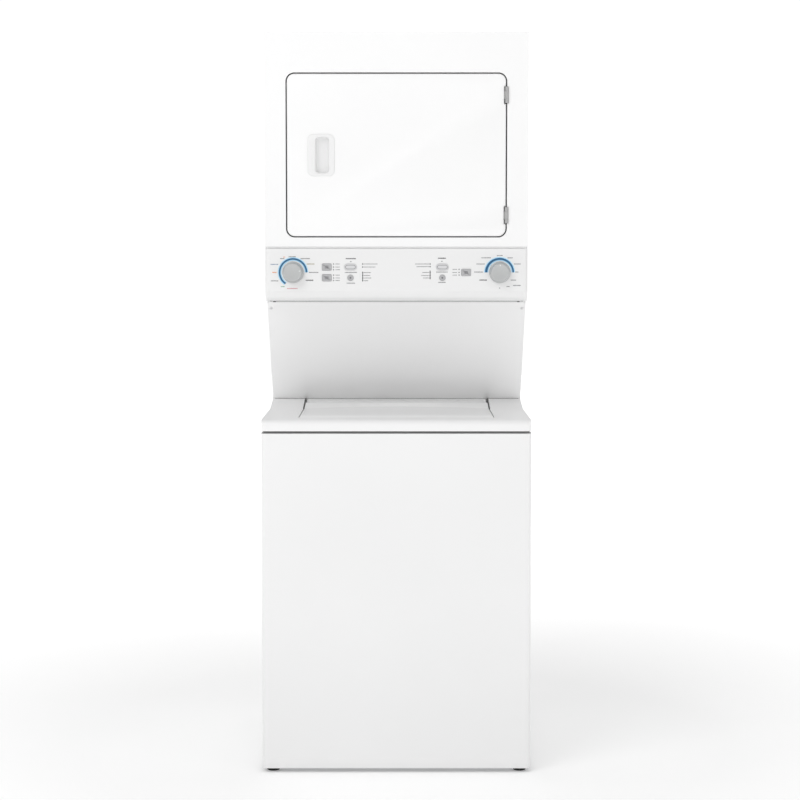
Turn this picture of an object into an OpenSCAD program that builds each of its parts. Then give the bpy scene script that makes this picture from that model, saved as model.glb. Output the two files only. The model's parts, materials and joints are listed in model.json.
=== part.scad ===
/* [Overall] */
// Width of both cabinets
unit_w = 686; // [600:1:830]
// Washer front to the end of the exhaust stub
unit_d = 800; // [760:1:960]
// Height of the washer's top deck
deck_z = 907; // [880:1:1090]
// Open bay from the deck to the console's underside
bay_h = 296; // [280:1:356]
// Height of the control console
console_h = 137; // [130:1:165]
// Height of the dryer's front above the console
dryer_h = 555; // [520:1:660]
// Distance the dryer's face stands behind the washer's
dryer_set = 200; // [180:1:230]
// Sheet steel thickness
sheet = 1.2; // [0.8:0.1:2]
// Radius of the soft vertical cabinet edges
edge_r = 12; // [6:1:18]

/* [Washer] */
// Height of the front panel's lower edge
foot_h = 10; // [8:1:16]
// Height of the deck's front fascia
fascia_h = 27.5; // [24:0.5:33]
// Shadow line between fascia and front panel
shadow_h = 6; // [3:0.5:8]
// Depth of the deck to the splash panel
deck_l = 511; // [500:1:520]
// Depth of the deck's flat part
deck_flat = 379; // [360:1:400]
// Rise of the deck's rear ramp
ramp_h = 18; // [12:1:22]
// Lid side to cabinet side
lid_side = 93; // [80:1:112]
// Lid front edge behind the deck's front
lid_front = 93; // [78:1:112]
// Lid hinge axis behind the deck's front
lid_hinge = 466; // [455:1:470]
// Thickness of the lid
lid_t = 18; // [15:1:20]
// Radius of the lid's hinge pins
lid_pin_r = 4; // [3:0.1:5]
// Gap round the lid
lid_gap = 2.5; // [2:0.5:4]
// Gap from the tub to the cabinet side
tub_gap = 47; // [44:1:56]
// Gap from the basket to the tub
basket_gap = 33; // [27:1:40]
// Height of the basket
basket_h = 500; // [450:1:530]
// Radius of the agitator's base
agitator_r = 150; // [125:1:180]
// Radius of the levelling foot's stud
stud_r = 5; // [4:0.1:6]
// Radius of the drain pipe
drain_r = 12.5; // [10.5:0.5:15]
// Radius of the inlet threads
inlet_r = 13.2; // [11:0.1:14]

/* [Console] */
// Radius of the two knobs
knob_r = 28; // [23:0.5:32]
// Knob centre to cabinet side
knob_inset = 73; // [61:1:80]
// Knob centre above the console's underside
knob_z = 75; // [62:1:90]
// Radius of the knob's shaft
knob_shaft_r = 3; // [2.5:0.1:4]
// Travel of the push buttons
press = 1.5; // [1:0.1:2]

/* [Dryer] */
// Door edge to cabinet side
door_side = 58; // [48:1:69]
// Door to dryer top
door_top = 107; // [90:1:128]
// Door to console line
door_low = 27; // [22:1:32]
// Corner radius of the door
door_r = 20; // [16:1:24]
// Gap round the door
door_gap = 3; // [2:0.5:4]
// Radius of the door's hinge pins
hinge_pin_r = 2.5; // [2:0.1:3]
// Gap from the drum to the cabinet side
drum_gap = 25; // [21:1:30]
// Radius of the drum's rear shaft
drum_shaft_r = 10; // [8:0.5:12]
// Radius of the blower wheel
blower_r = 62; // [52:1:66]
// Outer radius of the exhaust stub
duct_r = 50.8; // [42.3:0.1:51]
// Exhaust stub past the rear panel
stub_l = 25; // [20:1:30]

/* [Hidden] */
$fn = 48;
eps = 0.5;
run = 0.05;
front_y = -unit_d / 2;
back_y = unit_d / 2 - stub_l;
side_x = unit_w / 2;
console_z = deck_z + bay_h;
console_top = console_z + console_h;
seam = 5;
dryer_z = console_top + seam;
unit_h = dryer_z + dryer_h;
dryer_y = front_y + dryer_set;

// Washer
panel_z = deck_z - fascia_h - shadow_h;
tuck_h = 32;
tuck_d = 12;
return_d = 30;
ramp_y = front_y + deck_flat;
splash_y0 = front_y + deck_l;
splash_z0 = deck_z + ramp_h;
splash_z1 = console_z - 7;
splash_y1 = splash_y0 - 0.819 * (splash_z1 - splash_z0);
function splash_y(z) = splash_y0 + (splash_y1 - splash_y0) * (z - splash_z0) / (splash_z1 - splash_z0);
washer_yc = (front_y + back_y) / 2;
tub_r = min(unit_w, unit_d - stub_l) / 2 - tub_gap - 1;
tub_wall = 3;
tub_top = deck_z - 72;
basket_r = tub_r - basket_gap;
basket_top = tub_top - 8;
basket_z = basket_top - basket_h;
tub_z = basket_z - 32;
rod_xy = tub_r - 8;
rod_z = panel_z - 30;
shaft_r = 14;
pulley_z = tub_z - 134;
pulley_h = 16;
drive_r = 95;
motor_r = 60;
motor_pulley_r = 25;
motor_x = 178;
foot_x = side_x - 26;
foot_y0 = front_y + 42;
foot_y1 = back_y - 30;
foot_travel = 18;
frame_h = 45;
lid_y0 = front_y + lid_front;
lid_y1 = front_y + lid_hinge;
lid_w = unit_w - 2 * lid_side;
lid_nose = 9;
slot_w = 7;
lid_skin = 1.5;
lid_z = deck_z + 1;
lid_axis_z = deck_z - 8;
pocket_w = lid_w + 2 * lid_gap;
pocket_z = lid_z - lid_t - 4;
mouth_w = pocket_w - 2 * 32;
mouth_y0 = lid_y0 + 22;
mouth_y1 = lid_y1 - 40;
wall = 2;
pump_x = -150;
pump_y = washer_yc - 60;
valve_x = side_x - 143;
valve_z = deck_z - 110;
drain_x = -side_x + 143;
drain_z = deck_z - 210;

// Console
console_y = dryer_y + 1;
shell = 3;
face_y1 = console_y + 27;
board_y = console_y + 21;
knob_x = side_x - knob_inset;
knob_h = 24;
knob_lift = 1;
option_x = knob_x - 88;
start_x = knob_x - 150;
key_z = console_z + knob_z;
key_step = 14;
key_gap = 0.4;
key_out = 2;
key_size = [25, 18];
start_size = [33, 17];
cancel_r = 8;

// Dryer
door_w = unit_w - 2 * door_side;
door_h = dryer_h - door_top - door_low;
door_z = dryer_z + door_low + door_h / 2;
door_t = 18;
recess_d = 24;
drum_r = min(side_x - drum_gap, (unit_h - 16 - console_z - 45) / 2);
drum_z = unit_h - 16 - drum_r;
drum_y0 = dryer_y + 74;
drum_y1 = back_y - 38;
drum_t = 1.5;
ring_r = drum_r - 17;
throat_h = door_h - 91;
throat_r = 60;
throat_drop = door_z - drum_z;
throat_reach = ring_r - 35 - throat_r;
throat_rise = throat_h / 2 - throat_r + abs(throat_drop);
throat_w = 2 * (sqrt(throat_reach * throat_reach - throat_rise * throat_rise) + throat_r);
liner_gap = 6;
bulkhead_y = dryer_y + 54;
sill_z = door_z - throat_h / 2;
filter_w = min(280, throat_w - 2 * throat_r - 20);
filter_h = 112;
filter_t = 8;
filter_y = dryer_y + 38;
hinge_x = door_w / 2 + door_gap / 2 + 0.5;
hinge_y = dryer_y - 1.5;
hinge_r = 4.5;
hinge_h = 42;
hinge_dz = door_h / 2 - 55;
handle_w = 71;
handle_h = 109;
handle_x = -door_w / 2 + 53 + handle_w / 2;
scroll_r = blower_r + 16;
blower_turn = 51.2;
blower_arm = drum_r + scroll_r + 6.6;
blower_x = blower_arm * cos(blower_turn);
blower_z = drum_z - blower_arm * sin(blower_turn);
outlet_x = 20;
outlet_z = blower_z - scroll_r + duct_r - 33;
base_z = outlet_z - duct_r - 7;
scroll_y = splash_y(base_z) + 80;
scroll_d = 70;
dryer_motor_r = 55;
dryer_motor_y = scroll_y + scroll_d + 8;
dryer_motor_l = 140;
belt_w = 12;
belt_t = 3;
belt_y = dryer_motor_y + dryer_motor_l + 22;
small_r = 12;
duct_t = 0.8;
duct_lap = 1.5;
split_z = outlet_z + duct_r + 20;
idler_r = 16;
belt_beta = asin((drum_r - small_r) / blower_arm);
belt_low_z = drum_z - drum_r - belt_t - 1.2;
idler_x = blower_x - 72;
idler_z = blower_z - small_r - belt_t - idler_r - 1 + 72 * sin(belt_beta - blower_turn);
idler_arm_l = 62;
idler_drop = 20;

// Screws
screw_r = 2;
splash_screw_z = splash_z1 - 14;
splash_tilt = atan2(splash_y0 - splash_y1, splash_z1 - splash_z0);
rear_spots = [
    for (x = [-side_x + 12, side_x - 12], z = [panel_z - 12, panel_z + 14, split_z - 12, split_z + 14, unit_h - 14])
        [x, z]
];

// ---- Shapes used by many pieces ----

module box(x0, x1, y0, y1, z0, z1) {
    translate([x0, y0, z0])
        cube([x1 - x0, y1 - y0, z1 - z0]);
}

// A rectangle with round corners, about the origin
module round_rect(w, h, r) {
    square([w - 2 * r, h], center = true);
    square([w, h - 2 * r], center = true);
    for (sx = [-1, 1], sy = [-1, 1])
        translate([sx * (w / 2 - r), sy * (h / 2 - r)])
            circle(r);
}

// Stands a flat outline up to face the front, from y0 back to y1
module upright(y0, y1) {
    translate([0, y1, 0])
        rotate([90, 0, 0])
            linear_extrude(y1 - y0)
                children();
}

// A side outline, in depth and height, drawn across from x0 to x1
module across(x0, x1) {
    translate([x0, 0, 0])
        rotate([90, 0, 90])
            linear_extrude(x1 - x0)
                children();
}

// A round bar along the depth
module rod_y(x, z, r, y0, y1) {
    translate([x, y1, z])
        rotate([90, 0, 0])
            cylinder(r = r, h = y1 - y0);
}

// A round bar along the width
module rod_x(y, z, r, x0, x1) {
    translate([x0, y, z])
        rotate([0, 90, 0])
            cylinder(r = r, h = x1 - x0);
}

module rod_z(x, y, r, z0, z1) {
    translate([x, y, z0])
        cylinder(r = r, h = z1 - z0);
}

module tube_z(x, y, r, r_in, z0, z1) {
    difference() {
        rod_z(x, y, r, z0, z1);
        rod_z(x, y, r_in, z0 - eps, z1 + eps);
    }
}

module tube_y(x, z, r, r_in, y0, y1) {
    difference() {
        rod_y(x, z, r, y0, y1);
        rod_y(x, z, r_in, y0 - eps, y1 + eps);
    }
}

// Plan of a box whose two front corners are round, grown or shrunk by inset
module front_plan(y0, y1, r, inset) {
    w = unit_w - 2 * inset;
    translate([0, (y0 + y1) / 2])
        round_rect(w, y1 - y0 - 2 * inset, r - inset);
    translate([-w / 2, (y0 + y1) / 2])
        square([w, (y1 - y0) / 2 - inset]);
}

// ---- Washer ----

module base_frame() {
    inset = sheet + 1;
    color("gainsboro")
        difference() {
            union() {
                difference() {
                    box(-side_x + inset, side_x - inset, front_y + 24, back_y - 2, foot_h + 2, frame_h);
                    box(-side_x + inset + wall, side_x - inset - wall,
                        front_y + 24 + wall, back_y - 2 - wall, foot_h + 2 + wall, frame_h + eps);
                    box(-side_x + 62, side_x - 62, front_y + 72, back_y - 62, 0, frame_h);
                }
                for (x = [-foot_x, foot_x], y = [foot_y0, foot_y1])
                    rod_z(x, y, 11, foot_h + 2, frame_h - 5);
            }
            for (x = [-foot_x, foot_x], y = [foot_y0, foot_y1])
                rod_z(x, y, stud_r + run, 0, frame_h);
        }
}

module foot(x, y) {
    color("dimgray") {
        rod_z(x, y, 16, 0, 6);
        rod_z(x, y, 9, 6, 9);
        rod_z(x, y, stud_r, 9, frame_h + 5);
    }
}

module washer_cabinet() {
    y0 = front_y + return_d + 2;
    rail = 14;
    color("white")
        difference() {
            union() {
                difference() {
                    box(-side_x, side_x, y0, back_y, foot_h + 2, panel_z);
                    box(-side_x + sheet, side_x - sheet, y0 - eps, back_y - sheet, 0, panel_z + eps);
                }
                for (s = [-1, 1])
                    mirror([s > 0 ? 1 : 0, 0, 0])
                        box(-side_x + sheet, -side_x + rail, y0, back_y - sheet, panel_z - sheet, panel_z);
                for (sx = [-1, 1], sy = [-1, 1])
                    translate([sx * rod_xy, washer_yc + sy * rod_xy, rod_z])
                        corner_bracket(sx, sy);
            }
            rod_y(valve_x - 22, valve_z, inlet_r + 3, back_y - 5, back_y + 5);
            rod_y(valve_x + 22, valve_z, inlet_r + 3, back_y - 5, back_y + 5);
            rod_y(drain_x, drain_z, drain_r + 2, back_y - 5, back_y + 5);
            for (sx = [-1, 1], sy = [-1, 1])
                rod_z(sx * rod_xy, washer_yc + sy * rod_xy, 5, rod_z - 9, rod_z + 9);
            rear_holes();
        }
}

// A shelf that a suspension rod hangs from, tied back to the cabinet's side
module corner_bracket(sx, sy) {
    reach = side_x - sheet - rod_xy + 0.2;
    translate([sx > 0 ? -16 : -reach, -16, -3])
        cube([reach + 16, 32, 3]);
}

module panel_profile(inset) {
    y0 = front_y + inset;
    y1 = front_y + return_d;
    polygon([
        [y0, panel_z + eps], [y0, foot_h + tuck_h], [y0 + tuck_d, foot_h + inset],
        [y1 + eps, foot_h + inset], [y1 + eps, panel_z + eps]
    ]);
}

module washer_front_panel() {
    y1 = front_y + return_d;
    color("white")
        difference() {
            intersection() {
                translate([0, 0, foot_h])
                    linear_extrude(panel_z - foot_h)
                        front_plan(front_y, y1, edge_r, 0);
                across(-side_x - 1, side_x + 1)
                    panel_profile(0);
            }
            intersection() {
                translate([0, 0, foot_h - eps])
                    linear_extrude(panel_z - foot_h + 2 * eps)
                        union() {
                            front_plan(front_y, y1, edge_r, sheet);
                            translate([-side_x + sheet, y1 - sheet - eps])
                                square([unit_w - 2 * sheet, sheet + 2 * eps]);
                        }
                across(-side_x - 1, side_x + 1)
                    panel_profile(sheet);
            }
            for (x = [-186, -140, 140, 186])
                rod_z(x, front_y + 17, 3, foot_h - 1, foot_h + 3);
        }
}

// Side outline of the deck, moved in by inset
module deck_profile(inset) {
    r = 14 - inset;
    y0 = front_y + inset;
    z1 = deck_z - inset;
    polygon(concat(
        [[y0, deck_z - fascia_h - (inset > 0 ? eps : 0)]],
        [for (a = [180:-15:90]) [y0 + r + r * cos(a), z1 - r + r * sin(a)]],
        [[ramp_y, z1], [splash_y0 - inset, z1 + ramp_h],
         [splash_y0 - inset, deck_z - fascia_h - (inset > 0 ? eps : 0)]]
    ));
}

module top_deck() {
    low = deck_z - fascia_h;
    plan_y = splash_y0;
    color("white")
        difference() {
            union() {
                intersection() {
                    translate([0, 0, low])
                        linear_extrude(fascia_h + ramp_h)
                            front_plan(front_y, plan_y, edge_r, 0);
                    difference() {
                        across(-side_x, side_x)
                            deck_profile(0);
                        intersection() {
                            across(-side_x + wall, side_x - wall)
                                deck_profile(wall);
                            translate([0, 0, low - eps])
                                linear_extrude(fascia_h + ramp_h)
                                    front_plan(front_y, plan_y, edge_r, wall);
                        }
                    }
                }
                intersection() {
                    across(-pocket_w / 2 - 8, pocket_w / 2 + 8)
                        deck_profile(0);
                    box(-pocket_w / 2 - 8, pocket_w / 2 + 8, lid_y0 - lid_gap - wall,
                        lid_y1 + lid_nose + lid_gap + wall, pocket_z - wall, deck_z + ramp_h);
                }
                translate([0, (mouth_y0 + mouth_y1) / 2, pocket_z - 26])
                    linear_extrude(26)
                        round_rect(mouth_w + 2 * wall, mouth_y1 - mouth_y0 + 2 * wall, 60 + wall);
            }
            box(-pocket_w / 2, pocket_w / 2, lid_y0 - lid_gap,
                lid_y1 + lid_nose + lid_gap, pocket_z, deck_z + ramp_h + 1);
            translate([0, (mouth_y0 + mouth_y1) / 2, pocket_z - 30])
                linear_extrude(40)
                    round_rect(mouth_w, mouth_y1 - mouth_y0, 60);
            rod_x(lid_y1, lid_axis_z, lid_pin_r + run, -pocket_w / 2 - 9, pocket_w / 2 + 9);
            for (s = [-1, 1])
                box(s * lid_w / 2 - slot_w / 2, s * lid_w / 2 + slot_w / 2, lid_y1 + lid_nose,
                    splash_y0 - wall - 1, pocket_z, deck_z + ramp_h + 1);
        }
}

module lid_section() {
    ramp_slope = ramp_h / (splash_y0 - ramp_y);
    rear_z = lid_z + ramp_slope * (lid_y1 - ramp_y);
    nose = rear_z - lid_axis_z;
    polygon(concat(
        [[lid_y0, lid_z - lid_t], [lid_y0, lid_z - 5], [lid_y0 + 2, lid_z - 1.5], [lid_y0 + 6, lid_z]],
        [[ramp_y, lid_z]],
        [for (a = [100:-20:-80]) [lid_y1 + lid_nose * cos(a), lid_axis_z + min(nose, lid_nose) * sin(a)]],
        [[lid_y1 - 10, lid_z - lid_t]]
    ));
}

module washer_lid() {
    color("white")
        difference() {
            across(-lid_w / 2, lid_w / 2)
                lid_section();
            box(-lid_w / 2 + 2 * lid_skin, lid_w / 2 - 2 * lid_skin, lid_y0 + 6, lid_y1 - 24,
                lid_z - lid_t - 1, lid_z - lid_skin);
            for (s = [-1, 1])
                rod_x(lid_y1, lid_axis_z, lid_pin_r, s * lid_w / 2 - 30, s * lid_w / 2 + 30);
        }
}

module lid_hinge_pins() {
    color("gray")
        for (s = [-1, 1])
            rod_x(lid_y1, lid_axis_z, lid_pin_r,
                  s > 0 ? lid_w / 2 - 30 : -lid_w / 2 - 9, s > 0 ? lid_w / 2 + 9 : -lid_w / 2 + 30);
}

module outer_tub() {
    color("whitesmoke")
        difference() {
            union() {
                rod_z(0, washer_yc, tub_r, tub_z, tub_top);
                for (sx = [-1, 1], sy = [-1, 1])
                    translate([sx * rod_xy, washer_yc + sy * rod_xy, tub_z + 20])
                        tub_lug(sx, sy);
            }
            rod_z(0, washer_yc, tub_r - tub_wall, tub_z + 4, tub_top + eps);
            rod_z(0, washer_yc, shaft_r + 6, tub_z - eps, tub_z + 5);
            rod_z(-150, washer_yc - 60, 14, tub_z - eps, tub_z + 5);
        }
}

// Arm from the tub's wall to a suspension rod
module tub_lug(sx, sy) {
    angle = atan2(sy, sx);
    reach = rod_xy * sqrt(2) - tub_r + tub_wall / 2;
    difference() {
        union() {
            rotate(angle)
                translate([-reach, -12, 0])
                    cube([reach, 24, 8]);
            translate([0, 0, -1])
                cylinder(r = 16, h = 10);
        }
        translate([0, 0, -2])
            cylinder(r = 4, h = 13);
    }
}

module tub_ring() {
    color("white")
        difference() {
            rod_z(0, washer_yc, tub_r + 4, tub_top - 10, tub_top + 6);
            rod_z(0, washer_yc, tub_r + 0.05, tub_top - 11, tub_top);
            rod_z(0, washer_yc, basket_r - 20, tub_top - eps, tub_top + 7);
        }
}

module suspension_rods() {
    color("silver")
        for (sx = [-1, 1], sy = [-1, 1])
            translate([sx * rod_xy, washer_yc + sy * rod_xy, 0])
                suspension_rod();
}

// Rod with its top seat, its lower cap and its spring, which is a stack of rings
module suspension_rod() {
    low = tub_z - 62;
    coils = 10;
    pitch = (82 - 8) / coils;
    cylinder_from(3, low, rod_z + 4);
    cylinder_from(10, rod_z, rod_z + 8);
    cylinder_from(15, low, low + 6);
    translate([0, 0, low + 5])
        rotate_extrude()
            polygon(concat(
                [[0, 0]],
                [for (i = [0:coils - 1]) each [
                    [9.5, i * pitch], [13, (i + 0.25) * pitch], [13, (i + 0.75) * pitch]
                ]],
                [[9.5, coils * pitch], [0, coils * pitch]]
            ));
}

module cylinder_from(r, z0, z1) {
    translate([0, 0, z0])
        cylinder(r = r, h = z1 - z0);
}

module wash_basket() {
    color("lightgray")
        difference() {
            union() {
                rod_z(0, washer_yc, basket_r, basket_z, basket_top);
                rod_z(0, washer_yc, 45, basket_z - 22, basket_z);
            }
            rod_z(0, washer_yc, basket_r - wall, basket_z + 4, basket_top + eps);
            rod_z(0, washer_yc, shaft_r + run, basket_z - 23, basket_z + 5);
        }
}

module balance_ring() {
    inner = basket_r - wall - 0.05;
    color("white")
        difference() {
            rod_z(0, washer_yc, inner, basket_top - 42, basket_top + 2);
            rod_z(0, washer_yc, inner - 26, basket_top - 43, basket_top + 3);
        }
}

module agitator() {
    z0 = basket_z + 5;
    height = basket_h - 110;
    fins = 4;
    color("lightsteelblue")
        translate([0, washer_yc, z0])
            difference() {
                union() {
                    rotate_extrude()
                        polygon([
                            [0, 0], [agitator_r, 0], [agitator_r, 10], [agitator_r - 40, 22],
                            [78, 60], [62, 110], [52, height - 30], [40, height - 6], [0, height]
                        ]);
                    for (i = [0:fins - 1])
                        rotate(i * 360 / fins)
                            translate([0, -5, 0])
                                rotate([90, 0, 90])
                                    rotate([0, -90, 0])
                                        fin(height);
                }
                translate([0, 0, -eps])
                    cylinder(r = shaft_r, h = 61);
            }
}

// Swept vane that stands on the agitator's base
module fin(height) {
    linear_extrude(10)
            polygon([
                [20, 5], [agitator_r - 6, 5], [agitator_r - 10, 50], [96, 92], [76, 170],
                [66, height - 120], [40, height - 90], [20, height - 90]
            ]);
}

module gearcase() {
    color("silver") {
        tube_z(0, washer_yc, 70, shaft_r + 6, pulley_z + 45, tub_z - 0.2);
        rod_z(0, washer_yc, shaft_r, pulley_z + pulley_h + 12, basket_z - 24);
        rod_z(0, washer_yc, 68, pulley_z + 45, pulley_z + 55);
    }
}

module washer_drive_pulley() {
    color("dimgray")
        translate([0, washer_yc, pulley_z])
            difference() {
                union() {
                    difference() {
                        cylinder(r = drive_r, h = pulley_h);
                        translate([0, 0, 4])
                            cylinder(r = drive_r - 8, h = pulley_h);
                    }
                    cylinder(r = 24, h = pulley_h + 8);
                }
                for (i = [0:4])
                    rotate(i * 72)
                        translate([56, 0, -eps])
                            cylinder(r = 16, h = 6);
            }
}

module washer_motor() {
    color("darkgray")
        translate([motor_x, washer_yc, 0])
            difference() {
                union() {
                    translate([0, 0, pulley_z + 42])
                        cylinder(r = motor_r, h = tub_z - pulley_z - 50);
                    translate([-40, -75, tub_z - 8.2])
                        cube([90, 150, 8]);
                }
                translate([0, 0, pulley_z + 40])
                    cylinder(r = 6 + run, h = 60);
            }
}

module washer_motor_pulley() {
    color("silver")
        translate([motor_x, washer_yc, pulley_z]) {
            cylinder(r = motor_pulley_r, h = pulley_h);
            cylinder(r = 6, h = 95);
        }
}

// Outline of an open belt: a disc at the origin, a disc at distance c, and the strip between them,
// which is a hair narrower so that its edges cross the discs cleanly
module belt_outline(r1, r2, c) {
    b = asin((r1 - r2) / c);
    p1 = r1 - 0.05;
    p2 = r2 - 0.05;
    circle(r1);
    translate([c, 0])
        circle(r2);
    polygon([
        [p1 * sin(b), p1 * cos(b)], [c + p2 * sin(b), p2 * cos(b)],
        [c + p2 * sin(b), -p2 * cos(b)], [p1 * sin(b), -p1 * cos(b)]
    ]);
}

module washer_drive_belt() {
    lift = 0.3;
    color("black")
        translate([0, washer_yc, pulley_z + 3])
            difference() {
                linear_extrude(10)
                    belt_outline(drive_r + lift + 4, motor_pulley_r + lift + 4, motor_x);
                translate([0, 0, -eps])
                    linear_extrude(12)
                        belt_outline(drive_r + lift, motor_pulley_r + lift, motor_x);
            }
}

module drain_pump() {
    color("slategray") {
        rod_y(pump_x, frame_h + 62, 36, pump_y - 40, pump_y + 70);
        rod_y(pump_x, frame_h + 62, 44, pump_y + 6, pump_y + 36);
        rod_z(pump_x, pump_y, 15, frame_h + 90, frame_h + 116);
        rod_y(pump_x - 26, frame_h + 40, 12, pump_y + 36, pump_y + 78);
        box(pump_x - 34, pump_x + 34, pump_y - 36, pump_y + 66, frame_h - 30, frame_h + 34);
        box(-side_x + 40, pump_x + 34, pump_y - 20, pump_y + 50, foot_h + 4.2, foot_h + 8);
    }
}

// A run of pipe through a list of points, with a ball at each bend
module pipe(points, r) {
    for (i = [0:len(points) - 2])
        pipe_leg(points[i], points[i + 1], r);
    for (i = [1:len(points) - 2])
        translate(points[i])
            sphere(r + 0.3);
}

module pipe_leg(a, b, r) {
    d = b - a;
    length = norm(d);
    translate(a)
        rotate([0, acos(d[2] / length), atan2(d[1], d[0])])
            cylinder(r = r, h = length);
}

module drain_hose() {
    tank = [pump_x, pump_y, tub_z + 0.5];
    rear = [drain_x, back_y + stub_l - 2, drain_z];
    out = [pump_x - 26, pump_y + 78.2, frame_h + 40];
    clear_y = back_y - 20;
    turn = [pump_x - 26, clear_y, frame_h + 40];
    color("dimgray") {
        pipe([tank, [pump_x, pump_y, frame_h + 116.2]], 13.5);
        pipe([out, turn, [drain_x - 60, clear_y, drain_z - 60], [drain_x, clear_y, drain_z], rear],
             drain_r);
        rod_y(drain_x, drain_z, drain_r + 1.5, clear_y + 5, back_y + 3);
    }
}

module water_valve() {
    color("royalblue") {
        for (s = [-1, 1])
            rod_y(valve_x + s * 22, valve_z, inlet_r, back_y - 16, back_y + 18);
        for (s = [-1, 1])
            rod_y(valve_x + s * 22, valve_z, inlet_r + 2.3, back_y - 14, back_y);
        box(valve_x - 42, valve_x + 42, back_y - 34, back_y - 12, valve_z - 22, valve_z + 22);
        for (s = [-1, 1])
            rod_z(valve_x + s * 22, back_y - 25, 11, valve_z + 22, valve_z + 42);
    }
}

// ---- Stand and console ----

module stand_outline() {
    polygon([
        [splash_y0 + 2, panel_z + 2], [splash_y0 + 2, splash_z0], [splash_y1 + 2, splash_z1],
        [splash_y1 + 2, console_z - 3], [back_y - sheet, console_z - 3], [back_y - sheet, panel_z + 2]
    ]);
}

module stand() {
    flange = 18;
    color("white")
        difference() {
            union() {
                for (s = [0, 1])
                    mirror([s, 0, 0])
                        across(-side_x, -side_x + sheet)
                            stand_outline();
                box(-side_x, side_x, back_y - sheet, back_y, panel_z + 2, split_z);
                for (s = [0, 1])
                    mirror([s, 0, 0])
                        across(-side_x + sheet, -side_x + flange)
                            polygon([
                                [splash_y0 + 2, splash_z0], [splash_y1 + 2, splash_z1],
                                [splash_y1 + 4, splash_z1], [splash_y0 + 4, splash_z0]
                            ]);
            }
            rod_y(outlet_x, outlet_z, duct_r + 1, back_y - 5, back_y + 5);
            splash_screw_holes();
            rear_holes();
        }
}

module splash_screw_holes() {
    for (s = [-1, 1])
        translate([s * (side_x - 9), splash_y(splash_screw_z), splash_screw_z])
            rotate([90 + splash_tilt, 0, 0])
                cylinder(r = screw_r + 0.1, h = 20, center = true);
}

module splash_panel() {
    inset = sheet + 1;
    color("gainsboro")
        difference() {
            across(-side_x + inset, side_x - inset)
                polygon([
                    [splash_y0, splash_z0], [splash_y1, splash_z1], [splash_y1, console_z - 2],
                    [splash_y1 + sheet, console_z - 2], [splash_y1 + sheet + 0.4, splash_z1],
                    [splash_y0 + sheet + 0.4, splash_z0]
                ]);
            splash_screw_holes();
        }
}

module console() {
    color("white")
        difference() {
            intersection() {
                translate([0, 0, console_z])
                    linear_extrude(console_h)
                        front_plan(console_y, console_y + 200, edge_r, 0);
                across(-side_x, side_x)
                    polygon([
                        [console_y, console_top], [console_y, console_z + 26],
                        [console_y + 9, console_z + 7], [console_y + 29, console_z],
                        [splash_y1 - 2, console_z], [splash_y1 - 2, console_z + shell],
                        [face_y1, console_z + shell], [face_y1, console_top]
                    ]);
            }
            across(-side_x + shell, side_x - shell)
                polygon([
                    [console_y + shell, console_top - shell], [console_y + shell, console_z + 27],
                    [console_y + 9 + shell, console_z + 10], [console_y + 30, console_z + shell],
                    [face_y1 + eps, console_z + shell], [face_y1 + eps, console_top - shell]
                ]);
            for (s = [-1, 1])
                rod_y(s * knob_x, key_z, knob_shaft_r + 1, console_y - 1, console_y + shell + 1);
            upright(console_y - 1, console_y + shell + 1) {
                for (dz = [-key_step, key_step])
                    translate([-option_x, key_z + dz])
                        round_rect(key_size[0] + 2 * key_gap, key_size[1] + 2 * key_gap, 3);
                translate([option_x, key_z])
                    round_rect(key_size[0] + 2 * key_gap, key_size[1] + 2 * key_gap, 3);
                for (s = [-1, 1])
                    translate([s * start_x, key_z + key_step])
                        oval(start_size[0] + 2 * key_gap, start_size[1] + 2 * key_gap);
            }
            for (s = [-1, 1])
                rod_y(s * start_x, key_z - key_step, cancel_r + key_gap, console_y - 1, console_y + shell + 1);
        }
}

module oval(w, h) {
    round_rect(w, h, h / 2 - 0.01);
}

module control_board() {
    color("seagreen")
        difference() {
            union() {
                box(-side_x + 12, side_x - 12, board_y, board_y + 1.6, console_z + 30, console_top - 12);
                for (s = [-1, 1])
                    box(s * knob_x - 8, s * knob_x + 8, board_y - 7, board_y, key_z - 8, key_z + 8);
            }
            for (s = [-1, 1])
                rod_y(s * knob_x, key_z, knob_shaft_r + run, board_y - 8, board_y + 3);
        }
}

module knob(x) {
    y1 = console_y - knob_lift;
    color("silver") {
        difference() {
            union() {
                rod_y(x, key_z, knob_r, y1 - 6, y1);
                translate([x, y1 - 5.9, key_z])
                    rotate([90, 0, 0])
                        cylinder(r1 = knob_r - 2.5, r2 = knob_r - 5, h = knob_h - 6, $fn = 64);
            }
            box(x - 1, x + 1, y1 - knob_h - 1, y1 - knob_h + 0.8, key_z + 8, key_z + knob_r - 5.5);
        }
        rod_y(x, key_z, knob_shaft_r, y1 - 1, board_y - 0.3);
    }
}

// Cap, back flange and stem of a push button
module button_body(x, z, stem_r) {
    color("silver") {
        upright(console_y - key_out, console_y + shell + 0.5)
            translate([x, z])
                children(0);
        upright(console_y + shell + 0.2, console_y + shell + 2)
            translate([x, z])
                children(1);
        rod_y(x, z, stem_r, console_y + shell + 1, board_y - press - 0.5);
    }
}

module key_button(x, z) {
    button_body(x, z, 4) {
        round_rect(key_size[0], key_size[1], 2.6);
        round_rect(key_size[0] + 3, key_size[1] + 3, 4);
    }
}

module start_button(x) {
    button_body(x, key_z + key_step, 4) {
        oval(start_size[0], start_size[1]);
        oval(start_size[0] + 3, start_size[1] + 3);
    }
}

module cancel_button(x) {
    button_body(x, key_z - key_step, 4) {
        circle(cancel_r);
        circle(cancel_r + 1.5);
    }
}

// ---- Dryer ----

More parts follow.
